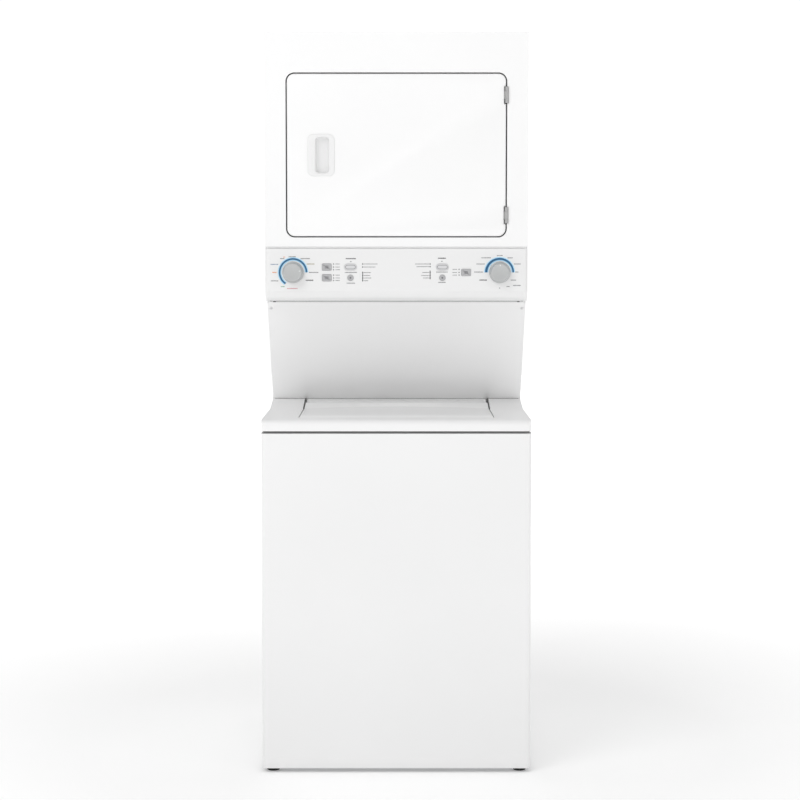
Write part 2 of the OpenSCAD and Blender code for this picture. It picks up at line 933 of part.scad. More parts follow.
module dryer_base() {
    y0 = splash_y(base_z) + 16;
    inset = sheet + 0.3;
    pivot_x = idler_x - idler_arm_l * cos(idler_drop);
    pivot_z = idler_z - idler_arm_l * sin(idler_drop);
    color("gainsboro") {
        difference() {
            box(-side_x + inset, side_x - inset, y0, back_y - sheet - 0.3, base_z, base_z + 16);
            box(-side_x + inset + wall, side_x - inset - wall, y0 + wall, back_y - sheet - 0.3 - wall,
                base_z + wall, base_z + 17);
            rod_y(outlet_x, outlet_z, duct_r + 1, y0 - 1, back_y);
        }
        difference() {
            for (y = [dryer_motor_y + 12, dryer_motor_y + dryer_motor_l - 16])
                box(blower_x - 42, blower_x + 42, y, y + 4, base_z + 1, blower_z - 20);
            rod_y(blower_x, blower_z, dryer_motor_r + 0.05, dryer_motor_y, dryer_motor_y + dryer_motor_l);
        }
        box(pivot_x - 10, pivot_x + 10, belt_y + 14, belt_y + 17, base_z + 1, pivot_z);
        rod_y(pivot_x, pivot_z, 10, belt_y + 14, belt_y + 17);
        rod_y(pivot_x, pivot_z, 4, belt_y + 3, belt_y + 15);
    }
}

module dryer_cabinet() {
    y0 = dryer_y + 20;
    color("white")
        difference() {
            across(-side_x, side_x)
                polygon([
                    [y0, dryer_z], [y0, unit_h], [back_y, unit_h], [back_y, split_z + 2],
                    [back_y - sheet - 0.3, split_z + 2], [back_y - sheet - 0.3, console_z],
                    [splash_y1 + 2, console_z], [splash_y1 + 2, console_z + shell + 1],
                    [face_y1 + 1, console_z + shell + 1], [face_y1 + 1, dryer_z]
                ]);
            box(-side_x + sheet, side_x - sheet, dryer_y, back_y + 1, console_z - 1, unit_h - sheet);
        }
}

module door_outline(grow) {
    translate([0, door_z])
        round_rect(door_w + 2 * grow, door_h + 2 * grow, door_r + grow);
}

module throat_outline(grow) {
    translate([0, door_z])
        round_rect(throat_w + 2 * grow, throat_h + 2 * grow, throat_r + grow);
}

module hinge_zone(r) {
    for (s = [-1, 1])
        rod_z(hinge_x, hinge_y, r, door_z + s * hinge_dz - hinge_h / 2 - 0.6,
              door_z + s * hinge_dz + hinge_h / 2 + 0.6);
}

module dryer_front_panel() {
    y1 = dryer_y + 18;
    color("white")
        difference() {
            union() {
                difference() {
                    box(-side_x, side_x, dryer_y, y1, dryer_z, unit_h);
                    box(-side_x + sheet, side_x - sheet, dryer_y + sheet, y1 + 1,
                        dryer_z + sheet, unit_h - sheet);
                }
                upright(dryer_y, dryer_y + recess_d + sheet)
                    door_outline(door_gap + sheet);
            }
            upright(dryer_y - 1, dryer_y + recess_d)
                door_outline(door_gap);
            upright(dryer_y, dryer_y + recess_d + 2)
                throat_outline(0);
            hinge_zone(hinge_r + 0.7);
            for (s = [-1, 1])
                box(hinge_x, hinge_x + 8, dryer_y + 1.1, dryer_y + 3.6,
                    door_z + s * hinge_dz - hinge_h / 2 - 0.6, door_z + s * hinge_dz + hinge_h / 2 + 0.6);
        }
}

module door_gasket() {
    y1 = dryer_y + recess_d - 0.05;
    color("dimgray")
        difference() {
            upright(y1 - 4.2, y1)
                door_outline(door_gap - 0.3);
            upright(y1 - 5, y1 + 1)
                throat_outline(14);
        }
}

module door_hinges() {
    knuckle = 10.4;
    color("silver")
        for (s = [-1, 1])
            translate([0, 0, door_z + s * hinge_dz]) {
                for (t = [-1, 1]) {
                    z0 = t > 0 ? hinge_h / 2 - knuckle : -hinge_h / 2;
                    rod_z(hinge_x, hinge_y, hinge_r, z0, z0 + knuckle);
                    box(hinge_x, hinge_x + 34, dryer_y + 1.4, dryer_y + 3.2, z0, z0 + knuckle);
                }
                rod_z(hinge_x, hinge_y, hinge_pin_r, -hinge_h / 2, hinge_h / 2);
                box(hinge_x + 9, hinge_x + 34, dryer_y + 1.4, dryer_y + 3.2, -hinge_h / 2, hinge_h / 2);
            }
}

module hinge_leaves() {
    half = hinge_h / 2 - 10.8;
    color("silver")
        for (s = [-1, 1])
            translate([0, 0, door_z + s * hinge_dz])
                difference() {
                    union() {
                        rod_z(hinge_x, hinge_y, hinge_r, -half, half);
                        box(hinge_x - 36, hinge_x, dryer_y + 1.4, dryer_y + 3.2, -half, half);
                    }
                    rod_z(hinge_x, hinge_y, hinge_pin_r + run, -half - 1, half + 1);
                }
}

module door_outer() {
    half = hinge_h / 2 - 10.8;
    color("white")
        difference() {
            upright(dryer_y, dryer_y + door_t)
                door_outline(0);
            difference() {
                upright(dryer_y + sheet, dryer_y + door_t + 1)
                    door_outline(-sheet);
                for (s = [-1, 1])
                    box(door_w / 2 - 9, door_w / 2, dryer_y, dryer_y + door_t,
                        door_z + s * hinge_dz - hinge_h / 2 - 3, door_z + s * hinge_dz + hinge_h / 2 + 3);
            }
            hinge_zone(hinge_r + 0.7);
            for (s = [-1, 1])
                box(hinge_x - 37, hinge_x, dryer_y + 1.2, dryer_y + 3.4,
                    door_z + s * hinge_dz - half - 0.2, door_z + s * hinge_dz + half + 0.2);
            upright(dryer_y - 1, dryer_y + 3)
                translate([handle_x, door_z])
                    round_rect(handle_w - 9, handle_h - 9, 12);
        }
}

module door_inner() {
    y0 = dryer_y + door_t + 0.1;
    y1 = dryer_y + 34;
    color("white")
        difference() {
            union() {
                upright(y0, y0 + sheet)
                    door_outline(-2);
                upright(y0, y1)
                    throat_outline(-liner_gap);
            }
            upright(y0 - 1, y1 - sheet)
                throat_outline(-liner_gap - sheet);
        }
}

module door_handle() {
    cup_w = 35;
    cup_h = 93;
    color("white")
        translate([handle_x, 0, door_z])
            difference() {
                union() {
                    upright(dryer_y - 2.5, dryer_y - 0.05)
                        round_rect(handle_w, handle_h, 16);
                    upright(dryer_y - 0.1, dryer_y + door_t - 0.1)
                        round_rect(handle_w - 10, handle_h - 10, 11);
                }
                upright(dryer_y - 3, dryer_y + door_t - 0.1 - wall)
                    translate([3.5, 0])
                        round_rect(cup_w, cup_h, 9);
            }
}

module front_bulkhead() {
    y1 = bulkhead_y + sheet;
    inset = sheet + 1;
    lint_y0 = dryer_y + 33;
    lint_w = filter_w + 20;
    lint_low = console_z + 8;
    color("gainsboro")
        difference() {
            union() {
                box(-side_x + inset, side_x - inset, bulkhead_y, y1, console_z + 6, unit_h - inset);
                upright(dryer_y + recess_d + sheet + 0.1, y1)
                    throat_outline(sheet);
                rod_y(0, drum_z, ring_r, bulkhead_y, drum_y0 + 10);
                box(-lint_w / 2, blower_x + 46, lint_y0, bulkhead_y + 0.1, lint_low, sill_z + 1);
            }
            rod_y(0, drum_z, ring_r - 3, y1, drum_y0 + 11);
            upright(dryer_y, y1 + 1)
                throat_outline(0);
            box(-lint_w / 2 + wall, blower_x + 44, lint_y0 + wall, bulkhead_y - 0.1, lint_low + wall, sill_z - 2);
            box(-filter_w / 2 - 1, filter_w / 2 + 1, filter_y - 1.2, filter_y + filter_t + 1.2,
                sill_z - 3, sill_z + 2);
            rod_y(blower_x, blower_z, 36, bulkhead_y - 1, y1 + 1);
            intersection() {
                box(-side_x, side_x, lint_y0 + wall, bulkhead_y + 2, sill_z - 1, sill_z + 40);
                upright(dryer_y, y1 + 1)
                    throat_outline(0);
            }
        }
}

module lint_filter() {
    color("lightgray")
        difference() {
            union() {
                box(-filter_w / 2, filter_w / 2, filter_y, filter_y + filter_t,
                    sill_z - filter_h, sill_z + 3);
                box(-filter_w / 2 - 6, filter_w / 2 + 6, filter_y - 2, filter_y + filter_t + 3,
                    sill_z + 1.2, sill_z + 4.4);
            }
            for (i = [-2:2])
                box(i * 54 - 23, i * 54 + 23, filter_y - 1, filter_y + filter_t + 1,
                    sill_z - filter_h + 10, sill_z - 10);
        }
}

module drum() {
    color("lightgray")
        difference() {
            union() {
                rod_y(0, drum_z, drum_r, drum_y0, drum_y1);
                rod_y(0, drum_z, 60, drum_y1, drum_y1 + 4);
                rod_y(0, drum_z, drum_shaft_r, drum_y1, back_y - 8);
            }
            rod_y(0, drum_z, drum_r - drum_t, drum_y0 + drum_t, drum_y1 - drum_t);
            rod_y(0, drum_z, ring_r + 4, drum_y0 - 1, drum_y0 + 3);
        }
}

module drum_baffles() {
    height = 62;
    color("white")
        for (i = [0:2])
            translate([0, 0, drum_z])
                rotate([0, i * 120, 0])
                    upright(drum_y0 + 30, drum_y1 - 12)
                        intersection() {
                            circle(drum_r - drum_t - 0.05);
                            translate([0, -drum_r - 4])
                                polygon([[-42, 0], [-12, height], [12, height], [42, 0]]);
                        }
}

module rear_bulkhead() {
    color("gainsboro")
        difference() {
            union() {
                box(-side_x + sheet + 0.2, side_x - sheet - 0.2, back_y - sheet, back_y,
                    split_z + 2.2, unit_h - sheet - 0.2);
                rod_y(0, drum_z, 26, back_y - 30, back_y - sheet + 0.1);
            }
            rod_y(0, drum_z, drum_shaft_r + run, back_y - 31, back_y - 6);
            rear_holes();
        }
}

module heater() {
    y0 = drum_y1 + 7;
    y1 = back_y - sheet - 0.2;
    color("silver") {
        difference() {
            tube_y(0, drum_z, 190, 80, y0, y1);
            tube_y(0, drum_z, 188, 82, y0 - 1, y1 - 1.5);
        }
        for (r = [110, 135, 160])
            tube_y(0, drum_z, r + 3, r - 3, y0 + 8, y1 - 1.5);
    }
}

module blower_housing() {
    y0 = scroll_y;
    y1 = scroll_y + scroll_d;
    low = outlet_z - duct_r - 2;
    color("lightgray")
        difference() {
            union() {
                rod_y(blower_x, blower_z, scroll_r, y0, y1);
                box(outlet_x - duct_r - 4, blower_x, y0, y1, low, blower_z - 6);
                rod_y(blower_x, blower_z, 38, bulkhead_y + sheet + 0.2, y0 + 1);
            }
            rod_y(blower_x, blower_z, scroll_r - wall, y0 + wall, y1 - wall);
            box(outlet_x - duct_r - 2, blower_x, y0 + wall, y1 - wall, low + wall, blower_z - 8);
            rod_y(blower_x, blower_z, 36, bulkhead_y, y0 + 3);
            rod_y(blower_x, blower_z, 8, y1 - 3, y1 + 1);
            rod_y(outlet_x, outlet_z, duct_r - 1, y1 - 3, y1 + 1);
        }
}

module dryer_motor() {
    y0 = dryer_motor_y;
    color("darkgray")
        difference() {
            union() {
                rod_y(blower_x, blower_z, dryer_motor_r, y0, y0 + dryer_motor_l);
                rod_y(blower_x, blower_z, 20, y0 - 6, y0 + dryer_motor_l + 6);
            }
            rod_y(blower_x, blower_z, 6 + run, y0 - 7, y0 + dryer_motor_l + 7);
        }
}

// Motor shaft with its belt pulley at the rear and the blower's impeller at the front
module blower_wheel() {
    y0 = scroll_y + 8;
    y1 = scroll_y + scroll_d - 10;
    color("dimgray") {
        rod_y(blower_x, blower_z, 6, y1 - 8, belt_y + belt_w + 8);
        rod_y(blower_x, blower_z, blower_r, y1 - 3, y1);
        rod_y(blower_x, blower_z, 14, y1 - 22, y1);
        tube_y(blower_x, blower_z, blower_r, blower_r - 14, y0, y0 + 2);
        for (i = [0:23])
            translate([blower_x, 0, blower_z])
                rotate([0, i * 15, 0])
                    box(blower_r - 13, blower_r - 1, y0, y1, -0.8, 0.8);
        tube_y(blower_x, blower_z, small_r + 2, 5, belt_y - 3, belt_y - 0.5);
        rod_y(blower_x, blower_z, small_r, belt_y - 1, belt_y + belt_w + 1);
        tube_y(blower_x, blower_z, small_r + 2, 5, belt_y + belt_w + 0.5, belt_y + belt_w + 3);
    }
}

module drum_belt() {
    lift = 0.3;
    color("black")
        translate([0, belt_y + belt_w, drum_z])
            rotate([0, blower_turn, 0])
                rotate([90, 0, 0])
                    difference() {
                        linear_extrude(belt_w)
                            belt_outline(drum_r + lift + belt_t, small_r + lift + belt_t, blower_arm);
                        translate([0, 0, -eps])
                            linear_extrude(belt_w + 2 * eps)
                                belt_outline(drum_r + lift, small_r + lift, blower_arm);
                    }
}

module idler_arm() {
    pivot_x = idler_x - idler_arm_l * cos(idler_drop);
    pivot_z = idler_z - idler_arm_l * sin(idler_drop);
    color("silver")
        difference() {
            union() {
                upright(belt_y - 5, belt_y - 2) {
                    translate([pivot_x, pivot_z])
                        circle(9);
                    translate([idler_x, idler_z])
                        circle(8);
                    translate([pivot_x, pivot_z])
                        rotate(idler_drop)
                            translate([3, -5])
                                square([idler_arm_l - 5, 10]);
                }
                rod_y(pivot_x, pivot_z, 7.5, belt_y - 3, belt_y + 13);
                rod_y(idler_x, idler_z, 4, belt_y - 3, belt_y + belt_w + 2);
            }
            rod_y(pivot_x, pivot_z, 4 + run, belt_y - 6, belt_y + 14);
        }
}

module idler_pulley() {
    color("white")
        tube_y(idler_x, idler_z, idler_r, 4 + run, belt_y - 0.5, belt_y + belt_w + 0.5);
}

module exhaust_duct() {
    color("silver") {
        tube_y(outlet_x, outlet_z, duct_r - 1.5 * duct_t, duct_r - 2.5 * duct_t,
               scroll_y + scroll_d + 0.1, back_y + duct_lap);
        tube_y(outlet_x, outlet_z, duct_r, duct_r - 2.5 * duct_t, back_y, back_y + duct_lap);
        tube_y(outlet_x, outlet_z, duct_r, duct_r - duct_t, back_y, back_y + stub_l);
    }
}

module rear_holes() {
    for (p = rear_spots)
        rod_y(p[0], p[1], screw_r + 0.1, back_y - 4, back_y + 1);
}

module screws() {
    color("silver") {
        for (p = rear_spots) {
            rod_y(p[0], p[1], screw_r, back_y - 10, back_y + 0.5);
            rod_y(p[0], p[1], 4.2, back_y + 0.05, back_y + 2.4);
        }
        for (s = [-1, 1])
            translate([s * (side_x - 9), splash_y(splash_screw_z), splash_screw_z])
                rotate([90 + splash_tilt, 0, 0]) {
                    translate([0, 0, -8])
                        cylinder(r = screw_r, h = 8.5);
                    translate([0, 0, 0.1])
                        cylinder(r = 4.2, h = 2.2);
                }
    }
}

base_frame();
washer_cabinet();
washer_front_panel();
top_deck();
outer_tub();
tub_ring();
suspension_rods();
gearcase();
washer_drive_belt();
washer_motor();
drain_pump();
drain_hose();
water_valve();
stand();
splash_panel();
console();
control_board();
dryer_base();
dryer_cabinet();
dryer_front_panel();
door_gasket();
door_hinges();
front_bulkhead();
rear_bulkhead();
heater();
blower_housing();
dryer_motor();
drum_belt();
exhaust_duct();
screws();
foot(-foot_x, foot_y0);  // foot_front_left
foot(foot_x, foot_y0);  // foot_front_right
foot(-foot_x, foot_y1);  // foot_rear_left
foot(foot_x, foot_y1);  // foot_rear_right
washer_lid();
lid_hinge_pins();
wash_basket();
balance_ring();
agitator();
washer_drive_pulley();
washer_motor_pulley();
knob(-knob_x);  // washer_knob
knob(knob_x);  // dryer_knob
start_button(-start_x);  // washer_start_button
cancel_button(-start_x);  // washer_cancel_button
key_button(-option_x, key_z + key_step);  // washer_option_button_upper
key_button(-option_x, key_z - key_step);  // washer_option_button_lower
start_button(start_x);  // dryer_start_button
cancel_button(start_x);  // dryer_cancel_button
key_button(option_x, key_z);  // dryer_option_button
door_outer();
door_inner();
door_handle();
hinge_leaves();
drum();
drum_baffles();
lint_filter();
blower_wheel();
idler_arm();
idler_pulley();
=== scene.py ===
import json
import math
import random

import bmesh
import bpy
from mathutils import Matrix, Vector


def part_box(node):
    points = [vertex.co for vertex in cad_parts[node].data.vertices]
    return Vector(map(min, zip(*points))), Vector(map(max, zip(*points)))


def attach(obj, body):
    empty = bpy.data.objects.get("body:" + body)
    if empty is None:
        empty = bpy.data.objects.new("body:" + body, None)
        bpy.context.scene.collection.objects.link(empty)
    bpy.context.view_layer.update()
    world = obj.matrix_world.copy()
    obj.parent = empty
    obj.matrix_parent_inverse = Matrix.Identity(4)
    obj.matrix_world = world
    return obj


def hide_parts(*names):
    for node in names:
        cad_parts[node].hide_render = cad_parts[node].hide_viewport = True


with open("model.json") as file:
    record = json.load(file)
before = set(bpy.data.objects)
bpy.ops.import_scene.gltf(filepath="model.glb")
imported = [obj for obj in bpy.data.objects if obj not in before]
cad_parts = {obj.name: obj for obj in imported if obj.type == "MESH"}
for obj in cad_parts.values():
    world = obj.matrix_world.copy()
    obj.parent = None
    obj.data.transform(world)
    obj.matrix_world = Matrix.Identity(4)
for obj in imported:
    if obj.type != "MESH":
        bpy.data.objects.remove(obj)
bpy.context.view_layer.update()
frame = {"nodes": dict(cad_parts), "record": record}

bl_info = {
    "name": "Washer dryer stack",
    "version": (1, 0, 0),
    "blender": (4, 5, 0),
    "location": "View3D > Sidebar > Laundry",
    "description": "Builds the finished surfaces of a stacked washer and dryer round its CAD frame",
    "category": "Object",
}

MM = 0.001


# ---------------------------------------------------------------- settings


class StackSizes(bpy.types.PropertyGroup):
    """Sizes of the details that the finish adds to the frame"""

    fold_radius: bpy.props.FloatProperty(
        name="Sheet fold radius", description="Rounding of folded sheet steel edges",
        default=0.0009, min=0.0001, unit="LENGTH")
    print_lift: bpy.props.FloatProperty(
        name="Print thickness", description="How far printed marks stand off the console",
        default=0.00012, min=0.00002, unit="LENGTH")
    basket_hole: bpy.props.FloatProperty(
        name="Basket hole", description="Diameter of the holes in the wash basket",
        default=0.005, min=0.002, unit="LENGTH")


class StackColours(bpy.types.PropertyGroup):
    """Colours of the finishes"""

    enamel: bpy.props.FloatVectorProperty(
        name="Enamel", description="White enamel of the cabinets", subtype="COLOR",
        size=3, default=(0.90, 0.90, 0.90), min=0, max=1)
    plastic: bpy.props.FloatVectorProperty(
        name="White plastic", description="Console and other white mouldings", subtype="COLOR",
        size=3, default=(0.82, 0.82, 0.82), min=0, max=1)
    knob: bpy.props.FloatVectorProperty(
        name="Knob", description="Silver-grey of the two knobs", subtype="COLOR",
        size=3, default=(0.50, 0.51, 0.51), min=0, max=1)
    arc: bpy.props.FloatVectorProperty(
        name="Dial arc", description="Blue of the printed arcs", subtype="COLOR",
        size=3, default=(0.012, 0.11, 0.25), min=0, max=1)
    halo: bpy.props.FloatVectorProperty(
        name="Dial halo", description="Light blue round the printed arcs", subtype="COLOR",
        size=3, default=(0.42, 0.72, 0.93), min=0, max=1)


def sizes():
    return bpy.context.scene.stack_sizes


def colours():
    return bpy.context.scene.stack_colours


# ---------------------------------------------------------------- node groups


def group_shell(name, inputs, outputs):
    group = bpy.data.node_groups.new(name, "ShaderNodeTree")
    for label, kind, value in inputs:
        socket = group.interface.new_socket(label, in_out="INPUT", socket_type=kind)
        socket.default_value = value
    for label, kind in outputs:
        group.interface.new_socket(label, in_out="OUTPUT", socket_type=kind)
    start = group.nodes.new("NodeGroupInput")
    end = group.nodes.new("NodeGroupOutput")
    return group, start, end


def noise(nodes, links, vector, scale, detail=2.0, roughness=0.5):
    node = nodes.new("ShaderNodeTexNoise")
    node.inputs["Detail"].default_value = detail
    node.inputs["Roughness"].default_value = roughness
    links.new(vector, node.inputs["Vector"])
    if isinstance(scale, (int, float)):
        node.inputs["Scale"].default_value = scale
    else:
        links.new(scale, node.inputs["Scale"])
    return node.outputs["Fac"]


def spread(nodes, links, value, low, high):
    """Maps a 0..1 value to the range from low to high, each a number or a socket"""
    node = nodes.new("ShaderNodeMapRange")
    links.new(value, node.inputs["Value"])
    node.inputs["From Min"].default_value = 0.3
    node.inputs["From Max"].default_value = 0.7
    for label, end in (("To Min", low), ("To Max", high)):
        if isinstance(end, (int, float)):
            node.inputs[label].default_value = end
        else:
            links.new(end, node.inputs[label])
    return node.outputs["Result"]


def mixed(nodes, links, factor, a, b):
    node = nodes.new("ShaderNodeMix")
    node.data_type = "RGBA"
    for value, socket in ((factor, node.inputs[0]), (a, node.inputs[6]), (b, node.inputs[7])):
        if isinstance(value, (int, float)):
            socket.default_value = value
        elif isinstance(value, tuple):
            socket.default_value = value
        else:
            links.new(value, socket)
    return node.outputs[2]


def place(nodes, scale=(1, 1, 1)):
    coords = nodes.new("ShaderNodeTexCoord")
    mapping = nodes.new("ShaderNodeMapping")
    mapping.inputs["Scale"].default_value = scale
    nodes.id_data.links.new(coords.outputs["Object"], mapping.inputs["Vector"])
    return mapping.outputs["Vector"]


def skin_group():
    """Paint or plastic: a slow change of shade, a fine skin and a little grime in patches"""
    group, start, end = group_shell(
        "Surface skin",
        [("Colour", "NodeSocketColor", (0.8, 0.8, 0.8, 1)),
         ("Shade", "NodeSocketColor", (0.7, 0.7, 0.7, 1)),
         ("Skin scale", "NodeSocketFloat", 900.0),
         ("Roughness low", "NodeSocketFloat", 0.25),
         ("Roughness high", "NodeSocketFloat", 0.35)],
        [("Colour", "NodeSocketColor"), ("Roughness", "NodeSocketFloat"), ("Height", "NodeSocketFloat")])
    nodes, links = group.nodes, group.links
    where = place(nodes)
    slow = noise(nodes, links, where, 3.0, 3.0)
    smears = noise(nodes, links, where, 26.0, 6.0, 0.62)
    skin = noise(nodes, links, where, start.outputs["Skin scale"], 2.0)
    fade = spread(nodes, links, slow, 0.0, 1.0)
    links.new(mixed(nodes, links, fade, start.outputs["Colour"], start.outputs["Shade"]),
              end.inputs["Colour"])
    rough = spread(nodes, links, smears, start.outputs["Roughness low"], start.outputs["Roughness high"])
    links.new(rough, end.inputs["Roughness"])
    links.new(skin, end.inputs["Height"])
    return group


def brushed_group():
    """Metal drawn or rolled in one direction: long fine scratches over a slow mottle"""
    group, start, end = group_shell(
        "Brushed metal",
        [("Colour", "NodeSocketColor", (0.6, 0.6, 0.6, 1)),
         ("Shade", "NodeSocketColor", (0.45, 0.45, 0.45, 1)),
         ("Stretch", "NodeSocketVector", (20.0, 20.0, 900.0)),
         ("Roughness low", "NodeSocketFloat", 0.22),
         ("Roughness high", "NodeSocketFloat", 0.4)],
        [("Colour", "NodeSocketColor"), ("Roughness", "NodeSocketFloat"), ("Height", "NodeSocketFloat")])
    nodes, links = group.nodes, group.links
    coords = nodes.new("ShaderNodeTexCoord")
    stretch = nodes.new("ShaderNodeVectorMath")
    stretch.operation = "MULTIPLY"
    links.new(coords.outputs["Object"], stretch.inputs[0])
    links.new(start.outputs["Stretch"], stretch.inputs[1])
    scratch = noise(nodes, links, stretch.outputs["Vector"], 1.0, 4.0, 0.6)
    mottle = noise(nodes, links, coords.outputs["Object"], 9.0, 4.0)
    fade = spread(nodes, links, mottle, 0.0, 1.0)
    streak = spread(nodes, links, scratch, 0.0, 0.55)
    shaded = mixed(nodes, links, fade, start.outputs["Colour"], start.outputs["Shade"])
    links.new(mixed(nodes, links, streak, shaded, start.outputs["Colour"]), end.inputs["Colour"])
    rough = spread(nodes, links, scratch, start.outputs["Roughness low"], start.outputs["Roughness high"])
    links.new(rough, end.inputs["Roughness"])
    links.new(scratch, end.inputs["Height"])
    return group


def spangle_group():
    """Zinc plate: flat crystals of slightly different grey"""
    group, start, end = group_shell(
        "Zinc spangle",
        [("Colour", "NodeSocketColor", (0.62, 0.63, 0.64, 1)),
         ("Shade", "NodeSocketColor", (0.50, 0.51, 0.53, 1)),
         ("Crystal scale", "NodeSocketFloat", 90.0)],
        [("Colour", "NodeSocketColor"), ("Roughness", "NodeSocketFloat"), ("Height", "NodeSocketFloat")])
    nodes, links = group.nodes, group.links
    where = place(nodes)
    cells = nodes.new("ShaderNodeTexVoronoi")
    links.new(where, cells.inputs["Vector"])
    links.new(start.outputs["Crystal scale"], cells.inputs["Scale"])
    grey = nodes.new("ShaderNodeSeparateColor")
    links.new(cells.outputs["Color"], grey.inputs["Color"])
    links.new(mixed(nodes, links, grey.outputs["Red"], start.outputs["Colour"], start.outputs["Shade"]),
              end.inputs["Colour"])
    links.new(spread(nodes, links, grey.outputs["Green"], 0.3, 0.45), end.inputs["Roughness"])
    links.new(noise(nodes, links, where, 500.0), end.inputs["Height"])
    return group


GROUP_MAKERS = {"skin": skin_group, "brushed": brushed_group, "spangle": spangle_group}
GROUP_TITLES = {"skin": "Surface skin", "brushed": "Brushed metal", "spangle": "Zinc spangle"}


def shared_group(kind):
    title = GROUP_TITLES[kind]
    if title not in bpy.data.node_groups:
        GROUP_MAKERS[kind]()
    return bpy.data.node_groups[title]


# ---------------------------------------------------------------- materials


def rgba(colour, gain=1.0):
    return tuple(min(1.0, c * gain) for c in colour) + (1.0,)


def finish_material(name, kind, colour, shade=None, metallic=0.0, coat=0.0, bump=0.05, distance=0.0002,
                    **values):
    """A Principled material whose colour, roughness and bump come from one of the shared groups"""
    material = bpy.data.materials.get(name)
    if material:
        return material
    material = bpy.data.materials.new(name)
    material.use_nodes = True
    nodes, links = material.node_tree.nodes, material.node_tree.links
    shader = nodes["Principled BSDF"]
    shader.inputs["Metallic"].default_value = metallic
    shader.inputs["Coat Weight"].default_value = coat
    shader.inputs["Coat Roughness"].default_value = 0.08
    skin = nodes.new("ShaderNodeGroup")
    skin.node_tree = shared_group(kind)
    skin.inputs["Colour"].default_value = rgba(colour)
    skin.inputs["Shade"].default_value = rgba(shade if shade else tuple(c * 0.985 for c in colour))
    for label, value in values.items():
        skin.inputs[label.replace("_", " ").capitalize()].default_value = value
    links.new(skin.outputs["Colour"], shader.inputs["Base Color"])
    links.new(skin.outputs["Roughness"], shader.inputs["Roughness"])
    bump_node = nodes.new("ShaderNodeBump")
    bump_node.inputs["Strength"].default_value = bump
    bump_node.inputs["Distance"].default_value = distance
    links.new(skin.outputs["Height"], bump_node.inputs["Height"])
    links.new(bump_node.outputs["Normal"], shader.inputs["Normal"])
    return material


def enamel():
    return finish_material("White enamel", "skin", colours().enamel, coat=0.2, bump=0.03,
                           distance=0.0001, skin_scale=650.0, roughness_low=0.29, roughness_high=0.294)


# Painted shade: the white enamel made a little darker, standing for the shade on the downward-facing splash
# panel.
def splash_enamel_painted_shade():
    return finish_material("Splash panel enamel painted shade", "skin", tuple(c * 0.985 for c in colours().enamel),
                           coat=0.15, bump=0.04, distance=0.0001, skin_scale=650.0,
                           roughness_low=0.33, roughness_high=0.34)


def white_plastic():
    return finish_material("White moulded plastic", "skin", colours().plastic, bump=0.10,
                           distance=0.00012, skin_scale=1500.0, roughness_low=0.38, roughness_high=0.40)


def knob_plastic():
    return finish_material("Knob silver plastic", "skin", colours().knob, metallic=0.35, bump=0.10,
                           distance=0.0001, skin_scale=2600.0, roughness_low=0.36, roughness_high=0.46)


def button_plastic():
    return finish_material("Button grey plastic", "skin", (0.44, 0.44, 0.45), bump=0.10,
                           distance=0.0001, skin_scale=2200.0, roughness_low=0.38, roughness_high=0.48)


def black_rubber():
    return finish_material("Black rubber", "skin", (0.022, 0.022, 0.023), shade=(0.035, 0.034, 0.033),
                           bump=0.3, distance=0.0003, skin_scale=700.0, roughness_low=0.6, roughness_high=0.8)


def grey_rubber():
    return finish_material("Grey rubber", "skin", (0.085, 0.088, 0.092), shade=(0.11, 0.11, 0.115),
                           bump=0.25, distance=0.0003, skin_scale=800.0, roughness_low=0.55,
                           roughness_high=0.75)


def tub_plastic():
    return finish_material("Tub polypropylene", "skin", (0.66, 0.67, 0.66), shade=(0.60, 0.61, 0.60),
                           bump=0.2, distance=0.0003, skin_scale=500.0, roughness_low=0.42,
                           roughness_high=0.56)


def agitator_plastic():
    return finish_material("Agitator plastic", "skin", (0.72, 0.74, 0.77), shade=(0.68, 0.70, 0.74),
                           bump=0.08, distance=0.0001, skin_scale=1400.0, roughness_low=0.28,
                           roughness_high=0.38)


def motor_paint():
    return finish_material("Motor paint", "skin", (0.10, 0.105, 0.115), shade=(0.075, 0.078, 0.085),
                           bump=0.2, distance=0.0003, skin_scale=420.0, roughness_low=0.42,
                           roughness_high=0.6)


def board_green():
    return finish_material("Circuit board", "skin", (0.02, 0.13, 0.06), shade=(0.03, 0.16, 0.08),
                           bump=0.1, distance=0.0001, skin_scale=900.0, roughness_low=0.25,
                           roughness_high=0.4)


def valve_blue():
    return finish_material("Valve plastic", "skin", (0.03, 0.07, 0.26), shade=(0.025, 0.06, 0.22),
                           bump=0.1, distance=0.0001, skin_scale=900.0, roughness_low=0.3,
                           roughness_high=0.42)


def filter_grey():
    return finish_material("Filter frame", "skin", (0.28, 0.29, 0.30), shade=(0.25, 0.26, 0.27),
                           bump=0.12, distance=0.0001, skin_scale=1200.0, roughness_low=0.4,
                           roughness_high=0.52)


def brushed_steel():
    return finish_material("Brushed steel", "brushed", (0.74, 0.74, 0.75), shade=(0.68, 0.68, 0.69),
                           metallic=0.9, bump=0.03, distance=0.00004, stretch=(30.0, 30.0, 1400.0),
                           roughness_low=0.28, roughness_high=0.40)


def cast_alloy():
    return finish_material("Cast alloy", "skin", (0.48, 0.49, 0.50), shade=(0.40, 0.41, 0.42),
                           metallic=1.0, bump=0.4, distance=0.0005, skin_scale=380.0,
                           roughness_low=0.45, roughness_high=0.6)


def galvanised():
    return finish_material("Galvanised sheet", "spangle", (0.62, 0.63, 0.64), shade=(0.50, 0.51, 0.53),
                           metallic=1.0, bump=0.05, distance=0.0001, crystal_scale=95.0)


def print_ink(name, colour, roughness=0.5):
    return finish_material(name, "skin", colour, shade=tuple(c * 0.9 for c in colour), bump=0.05,
                           distance=0.00005, skin_scale=3000.0, roughness_low=roughness - 0.05,
                           roughness_high=roughness + 0.05)


